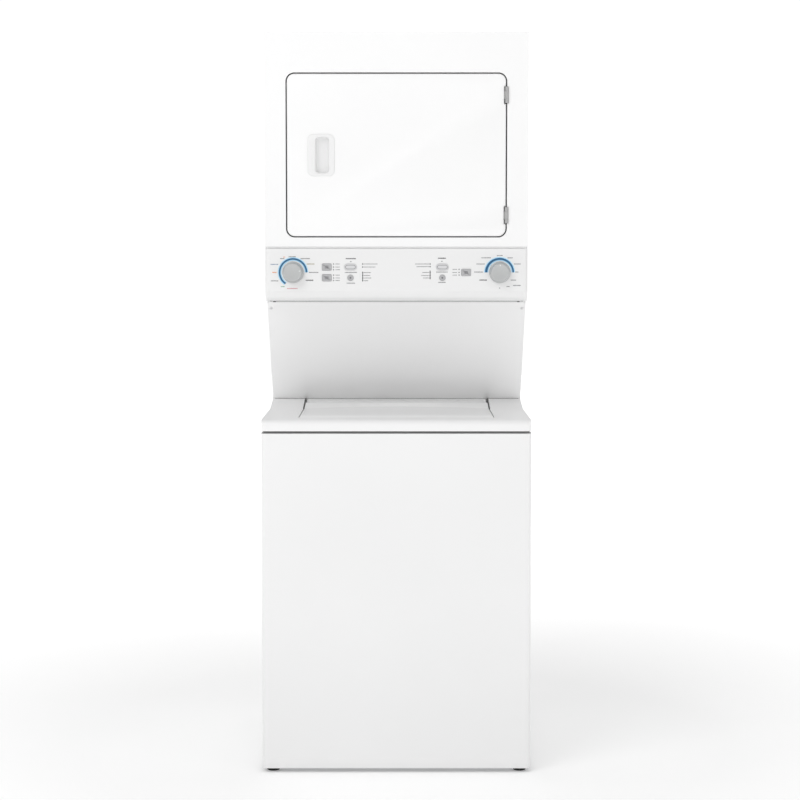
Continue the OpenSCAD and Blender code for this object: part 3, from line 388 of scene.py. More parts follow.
SLOT_FINISH = {
    "white_paint": enamel, "splash_paint": splash_enamel_painted_shade, "white_plastic": white_plastic,
    "galvanised": galvanised, "steel": brushed_steel, "knob_grey": knob_plastic,
    "button_grey": button_plastic, "black_rubber": black_rubber, "grey_rubber": grey_rubber,
    "tub_plastic": tub_plastic, "agitator_plastic": agitator_plastic, "motor_grey": motor_paint,
    "cast_alloy": cast_alloy, "board_green": board_green, "valve_blue": valve_blue,
    "filter_grey": filter_grey,
}
NODE_SLOT = {part["node"]: part["material_slot"] for part in frame["record"]["subparts"]}
NODE_BODY = {node: body for body, nodes in frame["record"]["behaviour"]["bodies"].items() for node in nodes}


# ---------------------------------------------------------------- mesh helpers


def mesh_piece(name, build, body, material, smooth=35.0):
    """Makes a piece from a bmesh that build fills, on a body and a finish"""
    mesh = bpy.data.meshes.new(name)
    bm = bmesh.new()
    build(bm)
    bmesh.ops.recalc_face_normals(bm, faces=bm.faces)
    bm.to_mesh(mesh)
    bm.free()
    piece = bpy.data.objects.new(name, mesh)
    bpy.context.scene.collection.objects.link(piece)
    mesh.materials.append(material)
    shade_by_angle(mesh, smooth)
    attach(piece, body)
    return piece


def shade_by_angle(mesh, degrees):
    limit = math.radians(degrees)
    mesh.polygons.foreach_set("use_smooth", [True] * len(mesh.polygons))
    bm = bmesh.new()
    bm.from_mesh(mesh)
    for edge in bm.edges:
        edge.smooth = len(edge.link_faces) == 2 and edge.calc_face_angle(0) < limit
    bm.to_mesh(mesh)
    bm.free()


def rounded(piece, width, segments=2, angle=30.0):
    bevel = piece.modifiers.new("Edge rounding", "BEVEL")
    bevel.width = width
    bevel.segments = segments
    bevel.limit_method = "ANGLE"
    bevel.angle_limit = math.radians(angle)
    bevel.harden_normals = True
    return piece


def softened(node, width, segments=2):
    """Stands for a CAD node with the same shape, its flat faces joined and its edges rounded"""
    source = frame["nodes"][node]
    slot = NODE_SLOT[node]

    def build(bm):
        bm.from_mesh(source.data)
        bmesh.ops.remove_doubles(bm, verts=bm.verts, dist=1e-6)
        bmesh.ops.dissolve_limit(bm, angle_limit=math.radians(0.5), verts=bm.verts, edges=bm.edges)

    piece = mesh_piece(node + "_finish", build, NODE_BODY[node], SLOT_FINISH[slot]())
    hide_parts(node)
    return rounded(piece, width, segments)


def grid_faces(bm, rings, close=True):
    """Joins rings of vertices, each a list of the same length, into quads"""
    count = len(rings[0])
    for lower, upper in zip(rings, rings[1:]):
        for i in range(count if close else count - 1):
            j = (i + 1) % count
            bm.faces.new((lower[i], lower[j], upper[j], upper[i]))


def capped(bm, rings):
    """Joins rings into a solid with a face over each end"""
    grid_faces(bm, rings)
    for end in (rings[0], rings[-1]):
        bm.faces.new(end)


def ring(bm, points):
    return [bm.verts.new(p) for p in points]


def turned(bm, profile, centre, axis="Y", segments=64, closed=False):
    """Turns a profile of (radius, distance along the axis) about an axis through centre"""
    rings = []
    for radius, along in profile:
        points = []
        for i in range(segments):
            a = 2 * math.pi * i / segments
            c, s = radius * math.cos(a), radius * math.sin(a)
            offset = {"Y": (c, along, s), "Z": (c, s, along), "X": (along, c, s)}[axis]
            points.append(Vector(centre) + Vector(offset))
        rings.append(ring(bm, points))
    grid_faces(bm, rings)
    if closed:
        grid_faces(bm, [rings[-1], rings[0]])
    else:
        for end in (rings[0], rings[-1]):
            bm.faces.new(end)


def round_rect(width, height, radius, steps=8):
    """Points of a rectangle with round corners, anticlockwise about the origin"""
    points = []
    for corner in range(4):
        cx = (width / 2 - radius) * (1 if corner in (0, 3) else -1)
        cz = (height / 2 - radius) * (1 if corner in (0, 1) else -1)
        for i in range(steps + 1):
            a = math.pi / 2 * (corner + i / steps)
            points.append((cx + radius * math.cos(a), cz + radius * math.sin(a)))
    return points


def front_ring(bm, outline, x, y, z):
    return ring(bm, [(x + px, y, z + pz) for px, pz in outline])


def tube(bm, path, radius, sides=12):
    """A round tube along a list of points"""
    rings = []
    path = [Vector(p) for p in path]
    normal = None
    for i, point in enumerate(path):
        ahead = path[min(i + 1, len(path) - 1)] - path[max(i - 1, 0)]
        ahead.normalize()
        if normal is None:
            normal = ahead.orthogonal().normalized()
        normal = (normal - ahead * normal.dot(ahead)).normalized()
        side = ahead.cross(normal)
        rings.append(ring(bm, [
            point + radius * (math.cos(a) * normal + math.sin(a) * side)
            for a in (2 * math.pi * k / sides for k in range(sides))]))
    capped(bm, rings)


def middle(node):
    low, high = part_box(node)
    return (low + high) / 2


def slab(bm, outer, inner, wrap=False):
    """Closes the room between two grids of points of the same size into a solid skin"""
    a = [ring(bm, row) for row in outer]
    b = [ring(bm, row) for row in inner]
    grid_faces(bm, a, close=wrap)
    grid_faces(bm, b, close=wrap)
    grid_faces(bm, [a[0], b[0]], close=wrap)
    grid_faces(bm, [a[-1], b[-1]], close=wrap)
    if not wrap:
        for end in (0, -1):
            left = [row[end] for row in a]
            right = [row[end] for row in b]
            grid_faces(bm, [left, right], close=False)


def block(bm, x0, x1, y0, y1, z0, z1):
    """A box of six faces"""
    low = ring(bm, [(x0, y0, z0), (x1, y0, z0), (x1, y1, z0), (x0, y1, z0)])
    high = ring(bm, [(x0, y0, z1), (x1, y0, z1), (x1, y1, z1), (x0, y1, z1)])
    grid_faces(bm, [low, high])
    bm.faces.new(low)
    bm.faces.new(high)


def prism(bm, outline, x, z, y0, y1):
    """An outline in x and z, drawn out along Y"""
    rings = [front_ring(bm, outline, x, y, z) for y in (y0, y1)]
    capped(bm, rings)


def fixed(piece):
    """Writes a piece's modifiers into its mesh"""
    depsgraph = bpy.context.evaluated_depsgraph_get()
    mesh = bpy.data.meshes.new_from_object(piece.evaluated_get(depsgraph))
    piece.modifiers.clear()
    piece.data = mesh
    return piece


def thickened(piece, depth, offset=-1):
    skin = piece.modifiers.new("Thickness", "SOLIDIFY")
    skin.thickness = depth
    skin.offset = offset
    return fixed(piece)


def cut(piece, build):
    """Takes the solids that build makes out of a piece"""
    mesh = bpy.data.meshes.new("cutter")
    bm = bmesh.new()
    build(bm)
    bmesh.ops.recalc_face_normals(bm, faces=bm.faces)
    bm.to_mesh(mesh)
    bm.free()
    tool = bpy.data.objects.new("cutter", mesh)
    bpy.context.scene.collection.objects.link(tool)
    holes = piece.modifiers.new("Holes", "BOOLEAN")
    holes.operation = "DIFFERENCE"
    holes.solver = "EXACT"
    holes.object = tool
    fixed(piece)
    bpy.data.objects.remove(tool)
    return piece


def stands_for(node, build, smooth=35.0, material=None, name=None):
    """A new piece in place of a CAD node, on the same body and slot"""
    slot = NODE_SLOT[node]
    piece = mesh_piece(name or node + "_finish", build, NODE_BODY[node],
                       material or SLOT_FINISH[slot](), smooth)
    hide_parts(node)
    return piece


def added(name, build, node, material, smooth=35.0):
    """A detail that rides with the body of a CAD node"""
    return mesh_piece(name, build, NODE_BODY[node], material, smooth)


def corner_plan(side, front, back, radius, columns=(), steps=8):
    """Plan of a panel with two round front corners, from its left return round to its right one"""
    points = [(-side, back)]
    for i in range(steps + 1):
        a = math.pi * (1 + 0.5 * i / steps)
        points.append((-side + radius + radius * math.cos(a), front + radius + radius * math.sin(a)))
    points += [(x, front) for x in columns]
    for i in range(steps + 1):
        a = math.pi * (1.5 + 0.5 * i / steps)
        points.append((side - radius + radius * math.cos(a), front + radius + radius * math.sin(a)))
    points.append((side, back))
    return points


# ---------------------------------------------------------------- operators: the cabinets

FOLDED = [
    "washer_cabinet", "top_deck", "stand", "splash_panel", "dryer_cabinet", "dryer_front_panel",
    "base_frame", "dryer_base", "front_bulkhead", "rear_bulkhead", "blower_housing", "door_inner",
]
SHEET = 1.2 * MM
EDGE_R = 12 * MM


class LAUNDRY_OT_finishes(bpy.types.Operator):
    """Gives every piece of the frame the finish of its material slot"""

    bl_idname = "laundry.finishes"
    bl_label = "Finishes"

    def execute(self, context):
        for name, node in frame["nodes"].items():
            node.data.materials.clear()
            node.data.materials.append(SLOT_FINISH[NODE_SLOT[name]]())
        return {"FINISHED"}


class LAUNDRY_OT_sheet_steel(bpy.types.Operator):
    """Rounds the folds of the sheet steel panels"""

    bl_idname = "laundry.sheet_steel"
    bl_label = "Sheet steel"

    def execute(self, context):
        for node in FOLDED:
            softened(node, sizes().fold_radius * 0.5)
        return {"FINISHED"}


class LAUNDRY_OT_washer_front(bpy.types.Operator):
    """Washer front panel with a softly bent foot"""

    bl_idname = "laundry.washer_front"
    bl_label = "Washer front panel"

    def execute(self, context):
        stands_for("washer_front_panel", build_washer_front)
        return {"FINISHED"}


def build_washer_front(bm):
    low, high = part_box("washer_front_panel")
    bend = [(0, 12), (26, 2.35), (29.5, 1.25), (33, 0.5), (37, 0.12), (42, 0)]
    top = high.z - low.z
    levels = [(z * MM, dy * MM) for z, dy in bend]
    levels += [(top - 1.5 * MM, 0), (top - 0.4 * MM, 0.3 * MM), (top, 1.1 * MM)]
    outer, inner = [], []
    for rise, dy in levels:
        z = low.z + rise
        outer.append([(x, y, z) for x, y in corner_plan(high.x, low.y + dy, high.y, EDGE_R)])
        inner.append([(x, y, z) for x, y in corner_plan(
            high.x - SHEET, low.y + dy + SHEET, high.y, EDGE_R - SHEET)])
    slab(bm, outer, inner)


class LAUNDRY_OT_lid(bpy.types.Operator):
    """Washer lid: a shallow pressed pan whose rear rises to the splash panel past a curved crease"""

    bl_idname = "laundry.lid"
    bl_label = "Washer lid"

    def execute(self, context):
        lid = stands_for("washer_lid", build_lid, smooth=20)
        thickened(lid, SHEET)
        low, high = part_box("washer_lid")
        for vert in lid.data.vertices:
            vert.co.x = min(max(vert.co.x, low.x), high.x)
            vert.co.y = min(max(vert.co.y, low.y), high.y)
            vert.co.z = max(vert.co.z, low.z)
        return {"FINISHED"}


def build_lid(bm):
    low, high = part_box("washer_lid")
    crease, bow = -21 * MM, 62 * MM
    flat = low.z + 18 * MM
    slope = 18 / 132
    pivot_y, pivot_z, nose = high.y - 9 * MM, low.z + 9 * MM, 9 * MM
    rear = pivot_y - 14 * MM
    top_rear = flat + slope * (rear - crease)
    half = high.x
    columns = [(-half, None), (-half, 1.6), (-half + 0.5 * MM, 0.6), (-half + 1.6 * MM, 0)]
    columns += [(-half + 1.6 * MM + (2 * half - 3.2 * MM) * i / 40, 0) for i in range(1, 40)]
    columns += [(half - 1.6 * MM, 0), (half - 0.5 * MM, 0.6), (half, 1.6), (half, None)]
    rows = []
    front = [(0, 18), (0, 5), (0.7, 2.6), (2.4, 0.9), (5.5, 0)]
    for dy, drop in front:
        rows.append(("front", dy * MM, drop * MM))
    for share in (0.25, 0.5, 0.75, 0.9):
        rows.append(("flat", share, 0))
    for shift in (-3, -1, 1, 3):
        rows.append(("crease", shift * MM, 0))
    for share in (0.2, 0.5, 0.8, 1.0):
        rows.append(("ramp", share, 0))
    for dy, dz in ((3.0, -0.8), (5.0, -3.2), (6.0, -6.6)):
        rows.append(("nose", rear + dy * MM, top_rear + dz * MM))
    for i in range(8):
        a = math.radians(112 - 27 * i)
        rows.append(("nose", pivot_y + nose * math.cos(a), pivot_z + nose * math.sin(a)))
    grid = []
    for kind, first, second in rows:
        line = []
        for x, drop in columns:
            bend_y = crease + bow * (1 - min(1, abs(x) / (half * 0.93)) ** 2)
            if kind == "front":
                y, z = low.y + first, flat - second
            elif kind == "flat":
                y, z = low.y + 6 * MM + (bend_y - 3 * MM - low.y - 6 * MM) * first, flat
            elif kind == "crease":
                y = bend_y + first
                z = flat + max(0, first + 3 * MM) ** 2 / (12 * MM) * slope * 0.9
            elif kind == "ramp":
                y = bend_y + 3 * MM + (rear - bend_y - 3 * MM) * first
                z = flat + 2.7 * MM * slope + (top_rear - flat - 2.7 * MM * slope) * first
            else:
                y, z = first, second
            z = low.z if drop is None else max(low.z, z - drop * MM)
            line.append((x, y, z))
        grid.append(line)
    grid_faces(bm, [ring(bm, row) for row in grid], close=False)


# ---------------------------------------------------------------- operators: the dryer door


class LAUNDRY_OT_door(bpy.types.Operator):
    """Dryer door: pressed skin, pull with its finger cup, gasket and hinges"""

    bl_idname = "laundry.door"
    bl_label = "Dryer door"

    def execute(self, context):
        skin = thickened(stands_for("door_outer", build_door_skin), SHEET)
        centre = middle("door_handle")

        def opening(bm):
            prism(bm, round_rect(64 * MM, 102 * MM, 13 * MM), centre.x, centre.z,
                  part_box("door_outer")[0].y - 5 * MM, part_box("door_outer")[0].y + 5 * MM)

        cut(skin, opening)
        shade_by_angle(skin.data, 35)
        stands_for("door_handle", build_handle)
        for node in ("door_gasket", "door_hinges", "hinge_leaves"):
            piece = softened(node, 0.5 * MM)
            if "hinge" in node:
                piece.data.materials[0] = hinge_paint()
        return {"FINISHED"}


def door_edge(inset):
    """Outline of the door's skin, with a notch at each hinge"""
    low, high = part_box("door_outer")
    centre = (low + high) / 2
    knuckle_low, knuckle_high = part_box("hinge_leaves")
    spread_z = (knuckle_high.z - knuckle_low.z) / 2 + 12 * MM
    height = 45 * MM
    notch_x = (high.x - low.x) / 2 - 4.2 * MM - inset
    outline = round_rect(high.x - low.x - 2 * inset, high.z - low.z - 2 * inset, 20 * MM - inset)
    right = (high.x - low.x) / 2 - inset
    side = []
    for z1, z0 in ((spread_z, spread_z - height), (-spread_z + height, -spread_z)):
        side += [(right, z1 + inset), (notch_x, z1 + inset), (notch_x, z0 - inset), (right, z0 - inset)]
    # round_rect runs anticlockwise from the right of the top right corner
    points = list(reversed(side)) + outline
    return [(x + centre.x, z + centre.z) for x, z in points]


def build_door_skin(bm):
    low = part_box("door_outer")[0]
    steps = [(0, 18), (0, 5), (0.3, 3.2), (1.0, 1.6), (2.2, 0.5), (4.0, 0.0)]
    rings = []
    for inset, back in steps:
        rings.append(ring(bm, [(x, low.y + back * MM, z) for x, z in door_edge(inset * MM)]))
    grid_faces(bm, rings)
    bm.faces.new(rings[-1])


def build_handle(bm):
    centre = middle("door_handle")
    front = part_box("door_handle")[0].y
    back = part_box("door_handle")[1].y
    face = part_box("door_outer")[0].y
    steps = [
        (61, 99, 11, back, 0), (61, 99, 11, face - 0.05 * MM, 0), (71, 109, 16, face - 0.05 * MM, 0),
        (71, 109, 16, front + 1.3 * MM, 0), (70.2, 108.2, 15.6, front + 0.5 * MM, 0),
        (68.6, 106.6, 15, front + 0.1 * MM, 0), (66, 104, 14, front, 0),
        (41, 98, 11.5, front, 3.5), (38.4, 96, 10.6, front + 0.3 * MM, 3.5),
        (36.4, 94.4, 9.8, front + 1.2 * MM, 3.5),
        (35, 93, 9, front + 3.0 * MM, 3.5), (33.6, 91, 8.6, front + 12 * MM, 3.5),
        (31, 88, 8, front + 15.5 * MM, 3.5), (26, 83, 7, front + 17.2 * MM, 3.5),
        (18, 75, 5, front + 17.8 * MM, 3.5),
    ]
    rings = [front_ring(bm, round_rect(w * MM, h * MM, r * MM), centre.x + dx * MM, y, centre.z)
             for w, h, r, y, dx in steps]
    capped(bm, rings)


# ---------------------------------------------------------------- operators: the console


def crease_z(x):
    """Height at which the console's lower facet begins, over its middle"""
    reach = 128 * MM
    base = 26 * MM
    if abs(x) > reach + 12 * MM:
        return base
    blend = max(0.0, min(1.0, (reach + 12 * MM - abs(x)) / (12 * MM)))
    return base + blend * (9.5 * MM - 5.0 * MM * (1 - min(1, abs(x) / reach) ** 2))


def build_console(bm):
    low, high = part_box("console")
    face_back = low.y + 27 * MM
    columns = [-318 * MM + 636 * MM * i / 106 for i in range(107)]
    rows = [("top", 137, 2.2), ("top", 136.7, 0.9), ("top", 136.0, 0.25), ("top", 134.8, 0.0),
            ("top", 60, 0.0),
            ("crease", 1.5, 0.0), ("crease", 0.0, 0.12), ("crease", -1.6, 0.34),
            ("low", 26, 0.4), ("low", 22, 2.2), ("low", 14, 5.9), ("low", 9.2, 8.5), ("low", 6.6, 11.2),
            ("low", 4.6, 16.3), ("low", 1.6, 24.6), ("low", 0.0, 26.3)]
    outer, inner = [], []
    for kind, height, dy in rows:
        for grid, skin in ((outer, 0.0), (inner, 3 * MM)):
            radius = min(EDGE_R - skin, face_back - low.y - dy * MM - skin - 0.5 * MM)
            radius = max(radius, 0.2 * MM)
            line = []
            for x, y in corner_plan(high.x - skin, low.y + dy * MM + skin, face_back, radius, columns):
                facet = max(0.0, crease_z(x) - 26 * MM)
                z = low.z + height * MM
                if kind == "crease":
                    z = low.z + crease_z(x) + height * MM + (0.6 * MM if facet == 0 else 0)
                    y = y if facet else y - min(dy * MM, 0.0)
                elif kind == "low" and height > 20 and y < low.y + 8 * MM:
                    y += facet * 0.13 * (1.0 if height > 24 else 0.5)
                if skin:
                    z = min(max(z, low.z + skin), high.z - skin)
                line.append((x, min(y, face_back), z))
            grid.append(line)
    slab(bm, outer, inner)
    # The top flange and the floor of the shell
    block(bm, low.x + EDGE_R, high.x - EDGE_R, low.y + 5 * MM, face_back, high.z - 3 * MM, high.z - 0.02 * MM)
    block(bm, low.x + 2 * MM, high.x - 2 * MM, face_back - 2 * MM, high.y, low.z, low.z + 3 * MM)


CONTROL_NODES = [
    "washer_start_button", "washer_cancel_button", "washer_option_button_upper",
    "washer_option_button_lower", "dryer_start_button", "dryer_cancel_button", "dryer_option_button",
]


def control_outline(node):
    """Width, height and corner radius of a control's face"""
    if "start" in node:
        return 33 * MM, 17 * MM, 8.45 * MM
    if "cancel" in node:
        return 16 * MM, 16 * MM, 7.99 * MM
    return 25 * MM, 18 * MM, 2.6 * MM


class LAUNDRY_OT_console(bpy.types.Operator):
    """Console moulding with its openings, and the push buttons"""

    bl_idname = "laundry.console"
    bl_label = "Console"

    def execute(self, context):
        shell = stands_for("console", build_console, smooth=30)
        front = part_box("console")[0].y

        def openings(bm):
            for node in CONTROL_NODES:
                width, height, radius = control_outline(node)
                gap = 0.4 * MM
                centre = middle(node)
                prism(bm, round_rect(width + 2 * gap, height + 2 * gap, radius + gap), centre.x, centre.z,
                      front - 3 * MM, front + 8 * MM)
            for node in ("washer_knob", "dryer_knob"):
                centre = middle(node)
                prism(bm, round_rect(8 * MM, 8 * MM, 3.99 * MM), centre.x, centre.z,
                      front - 3 * MM, front + 8 * MM)

        cut(shell, openings)
        shade_by_angle(shell.data, 30)
        for node in CONTROL_NODES:
            button = stands_for(node, lambda bm, n=node: build_button(bm, n))
            if "start" in node:
                button.data.materials[0] = start_plastic()
        return {"FINISHED"}


def start_plastic():
    return finish_material("Start button plastic", "skin", (0.66, 0.66, 0.67), bump=0.1,
                           distance=0.0001, skin_scale=2200.0, roughness_low=0.36, roughness_high=0.46)


def build_button(bm, node):
    low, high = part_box(node)
    width, height, radius = control_outline(node)
    centre = middle(node)
    face = low.y
    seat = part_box("console")[0].y + 3.2 * MM
    stem = 4 * MM

    def outline(grow):
        return round_rect(width + 2 * grow, height + 2 * grow, radius + grow)

    steps = [(1.5, seat + 1.8 * MM), (1.5, seat), (0, seat), (0, face + 1.0 * MM), (-0.25, face + 0.4 * MM),
             (-0.9, face), (-1.9, face + 0.05 * MM), (-3.2, face + 0.35 * MM)]
    rings = [front_ring(bm, outline(g * MM), centre.x, y, centre.z) for g, y in steps]
    capped(bm, rings)
    turned(bm, [(stem, seat + 1.0 * MM), (stem, high.y)], (centre.x, 0, centre.z), "Y", 24)


class LAUNDRY_OT_knobs(bpy.types.Operator):
    """The two cycle knobs: skirt, finely fluted grip and a shallow dished cap with a pointer line"""

    bl_idname = "laundry.knobs"
    bl_label = "Knobs"

    def execute(self, context):
        for node in ("washer_knob", "dryer_knob"):
            stands_for(node, lambda bm, n=node: build_knob(bm, n), smooth=30)
            added(node + "_pointer", lambda bm, n=node: build_pointer(bm, n), node,
                  print_ink("Pointer white", (0.85, 0.86, 0.87), 0.35))
        return {"FINISHED"}


def build_knob(bm, node):
    low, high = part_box(node)
    centre = middle(node)
    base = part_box("console")[0].y - 1 * MM
    radius = (high.x - low.x) / 2
    depth = base - low.y
    shaft = 3 * MM
    profile = [(shaft, high.y), (shaft, base), (radius - 1 * MM, base), (radius - 0.2 * MM, base - 0.5 * MM),
               (radius, base - 1.4 * MM), (radius - 0.1 * MM, base - 4.4 * MM),
               (radius - 0.8 * MM, base - 5.6 * MM),
               (radius - 2.2 * MM, base - 6.2 * MM)]
    grip = [(radius - 2.7 * MM, 6.8), (radius - 3.3 * MM, 12), (radius - 3.9 * MM, 19.5)]
    cap = [(radius - 4.5 * MM, base - depth + 1.7 * MM), (radius - 5.3 * MM, base - depth + 0.5 * MM),
           (radius - 6.6 * MM, base - depth), (radius - 8.4 * MM, base - depth + 0.25 * MM),
           (radius - 12 * MM, base - depth + 0.7 * MM), (3 * MM, base - depth + 1.0 * MM)]
    segments = 144
    rings = []
    rows = [(r, y, 0) for r, y in profile]
    rows += [(r, base - d * MM, 0.3 * MM) for r, d in grip]
    rows += [(r, y, 0) for r, y in cap]
    for r, y, flute in rows:
        points = []
        for i in range(segments):
            a = 2 * math.pi * i / segments
            rr = r - (flute if i % 3 == 0 else 0)
            points.append((centre.x + rr * math.cos(a), y, centre.z + rr * math.sin(a)))
        rings.append(ring(bm, points))
    capped(bm, rings)


def build_pointer(bm, node):
    low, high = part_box(node)
    centre = middle(node)
    radius = (high.x - low.x) / 2
    face = low.y
    a = math.radians(12 if node == "washer_knob" else 90)
    along = Vector((math.cos(a), 0, math.sin(a)))
    across = Vector((-math.sin(a), 0, math.cos(a)))
    hub = Vector((centre.x, 0, centre.z))
    start, end, half = radius - 11.5 * MM, radius - 6.2 * MM, 0.9 * MM
    corners = []
    for depth in (0.12 * MM, 0.9 * MM):
        corners.append(ring(bm, [
            hub + along * r + across * w + Vector((0, face + depth, 0))
            for r, w in ((start, -half), (end, -half), (end, half), (start, half))]))
    grid_faces(bm, corners)
    for end_ring in corners:
        bm.faces.new(end_ring)


# ---------------------------------------------------------------- operators: printed marks

# Each mark: centre across from the middle, drop below the console's top line, length (mm)
WASHER_LABELS = {
    "grey": [(-298, 31, 11), (-272, 26, 19), (-238, 31, 24), (-216, 67, 25), (-318.5, 89, 19)],
    "tan": [(-224, 45, 20)],
    "dark": [(-227, 87.5, 20)],
    "pink": [(-272, 109, 28)],
    "green": [(-297, 104, 10)],
    "orange": [(-318.5, 67, 12), (-293, 27, 5)],
    "blue_grey": [(-318.5, 46, 20)],
}
DRYER_LABELS = {
    "grey": [(234, 29, 24), (220, 45, 22), (215, 66, 23), (270, 23, 15), (297, 29, 14), (316, 45, 18),
             (315, 66, 8), (306, 87, 14), (315, 101, 20), (292, 104, 8), (270, 108, 3)],
    "dark": [(227, 87, 20)],
}
PANEL_LABELS = {
    "dark": [(-119, 31, 26), (119, 30, 21)],
    "grey": [(-119, 67, 31), (-119, 95, 22), (119, 66, 30), (119, 93, 20), (-119, 39, 4), (119, 38, 4)],
}
LAMP_COLUMNS = [
    (-164, [45, 53, 60], 11, 1), (-164, [74, 81.5, 88], 11, 1), (163.7, [59, 67, 74], 12, -1),
]
STATUS_BARS = [
    (-88, 65, 90, [(45, 36), (53, 30), (67.5, 18), (75, 16.5), (81.5, 19), (88.7, 11)], 1),
    (88, 62, 85, [(45, 36), (52, 32), (67, 17), (75, 20), (81.5, 15)], -1),
]
INKS = {
    "grey": (0.20, 0.20, 0.21), "dark": (0.045, 0.045, 0.05), "tan": (0.36, 0.31, 0.18),
    "pink": (0.62, 0.26, 0.30), "green": (0.18, 0.42, 0.24), "orange": (0.80, 0.30, 0.12),
    "blue_grey": (0.20, 0.27, 0.40),
}


class LAUNDRY_OT_print(bpy.types.Operator):
    """Marks printed on the console: dial arcs, label bars, lamps and status bars, all without letters"""

    bl_idname = "laundry.console_print"
    bl_label = "Console print"

    def execute(self, context):
        marks = {}
        for table in (WASHER_LABELS, DRYER_LABELS, PANEL_LABELS):
            for ink, entries in table.items():
                marks.setdefault(ink, []).extend(
                    label_dashes(x, drop, length, 3.2 if ink == "dark" else 2.5)
                    for x, drop, length in entries)
        for x, drops, length, side in LAMP_COLUMNS:
            for drop in drops:
                marks["grey"].append(label_dashes(x + side * (5 + length / 2), drop, length, 2.0))
                marks["dark"].append([(x, drop, 2.6, 2.6)])
        for x, top, bottom, lines, side in STATUS_BARS:
            marks["grey"].append([(x, (top + bottom) / 2, 2.2, bottom - top)])
            for drop, length in lines:
                marks["grey"].append(label_dashes(x + side * (3 + length / 2), drop, length, 2.0))
                marks["dark"].append([(x, drop, 3.0, 3.0)])
        for ink, groups in marks.items():
            boxes = [box for group in groups for box in group]
            added("console_print_" + ink, lambda bm, b=boxes: build_marks(bm, b), "console",
                  print_ink("Ink " + ink.replace("_", " "), INKS[ink]))
        for name, material, inner, outer, layer in (
                ("halo", print_ink("Ink halo", colours().halo), 30.6, 39.6, 1),
                ("arc", print_ink("Ink arc", colours().arc), 33.0, 37.2, 2)):
            added("console_print_" + name, lambda bm, a=inner, b=outer, k=layer: build_arcs(bm, a, b, k),
                  "console", material)
        for node in CONTROL_NODES:
            added(node + "_icon", lambda bm, n=node: build_icon(bm, n), node,
                  print_ink("Ink icon", (0.16, 0.16, 0.17)))
        return {"FINISHED"}


def label_dashes(x, drop, length, height):
    """Breaks a label bar into the uneven dashes of a line of small print"""
    dice = random.Random(int(x * 10) * 1009 + int(drop * 10))
    dashes, at = [], x - length / 2
    while at < x + length / 2 - 0.4:
        width = min(dice.uniform(1.1, 2.6), x + length / 2 - at)
        dashes.append((at + width / 2, drop + dice.uniform(-0.12, 0.12), width,
                       height * dice.uniform(0.8, 1.0)))
        at += width + dice.uniform(0.35, 0.7)
    return dashes


def build_marks(bm, boxes):
    low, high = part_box("console")
    top = high.z + 5 * MM
    lift = sizes().print_lift
    for x, drop, width, height in boxes:
        z = top - drop * MM
        block(bm, (x - width / 2) * MM, (x + width / 2) * MM, low.y - lift, low.y + lift,
              z - height / 2 * MM, z + height / 2 * MM)


def build_arcs(bm, inner, outer, layer):
    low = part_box("console")[0]
    lift = sizes().print_lift * layer
    for node, first, last in (("washer_knob", 0, 236), ("dryer_knob", 0, 180)):
        centre = middle(node)
        steps = 72
        rows = [[], [], [], []]
        for i in range(steps + 1):
            share = i / steps
            a = math.radians(first + (last - first) * share)
            a0, a1 = inner, outer
            if node == "dryer_knob":
                widen = 1.5 * share
                a0, a1 = inner - widen * 0.4, outer + widen
            for row, (radius, y) in zip(rows, ((a0, low.y - lift), (a1, low.y - lift),
                                               (a1, low.y + 0.1 * MM), (a0, low.y + 0.1 * MM))):
                row.append((centre.x + radius * MM * math.cos(a), y, centre.z + radius * MM * math.sin(a)))
        rings = [ring(bm, [row[i] for row in rows]) for i in range(steps + 1)]
        capped(bm, rings)


def build_icon(bm, node):
    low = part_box(node)[0]
    centre = middle(node)
    y0, y1 = low.y + 0.2 * MM, low.y + 0.9 * MM
    if "start" in node:
        outer, inner = round_rect(27 * MM, 11 * MM, 5.4 * MM), round_rect(24.6 * MM, 8.6 * MM, 4.2 * MM)
        rings = [front_ring(bm, outline, centre.x, y, centre.z)
                 for outline, y in ((outer, y0), (inner, y0), (inner, y1), (outer, y1))]
        grid_faces(bm, rings)
        grid_faces(bm, [rings[-1], rings[0]])
    elif "cancel" in node:
        prism(bm, round_rect(4.4 * MM, 4.4 * MM, 0.8 * MM), centre.x, centre.z, y0, y1)
    else:
        for dz in (-2.6, 0, 2.6):
            prism(bm, round_rect(10 * MM, 1.3 * MM, 0.5 * MM), centre.x, centre.z + dz * MM, y0, y1)


# ---------------------------------------------------------------- operators: seams


class LAUNDRY_OT_seams(bpy.types.Operator):
    """Folded returns behind the long gaps, the washer's in a dark grey that is painted shade, and dark strips
    of painted shade in the gaps along the console, splash panel and lid
    """

    bl_idname = "laundry.seams"
    bl_label = "Seams"

    def execute(self, context):
        # Painted shade: the near-black and dark grey strips below stand for the shadow in the gaps; the
        # dryer's return keeps the enamel.
        dark = seam_painted_shade()
        added("dryer_panel_return", build_dryer_return, "dryer_front_panel", enamel())
        added("washer_panel_return_painted_shade", build_washer_gap_painted_shade, "washer_front_panel", return_painted_shade_grey())
        added("console_gap_painted_shade", build_console_gap_painted_shade, "splash_panel", dark)
        added("splash_foot_painted_shade", build_splash_foot_painted_shade, "splash_panel", return_painted_shade_grey())
        added("lid_gap_painted_shade", build_lid_painted_shade, "top_deck", dark)
        return {"FINISHED"}


def hinge_paint():
    return finish_material("Hinge paint", "skin", (0.40, 0.40, 0.40), bump=0.1, distance=0.0001,
                           skin_scale=1200.0, roughness_low=0.36, roughness_high=0.44)


# Painted shade: a near-black for the strips that stand for the shadow in narrow gaps.
def seam_painted_shade():
    return finish_material("Seam painted shade", "skin", (0.06, 0.06, 0.062), bump=0.1, distance=0.0001,
                           skin_scale=1500.0, roughness_low=0.5, roughness_high=0.6)


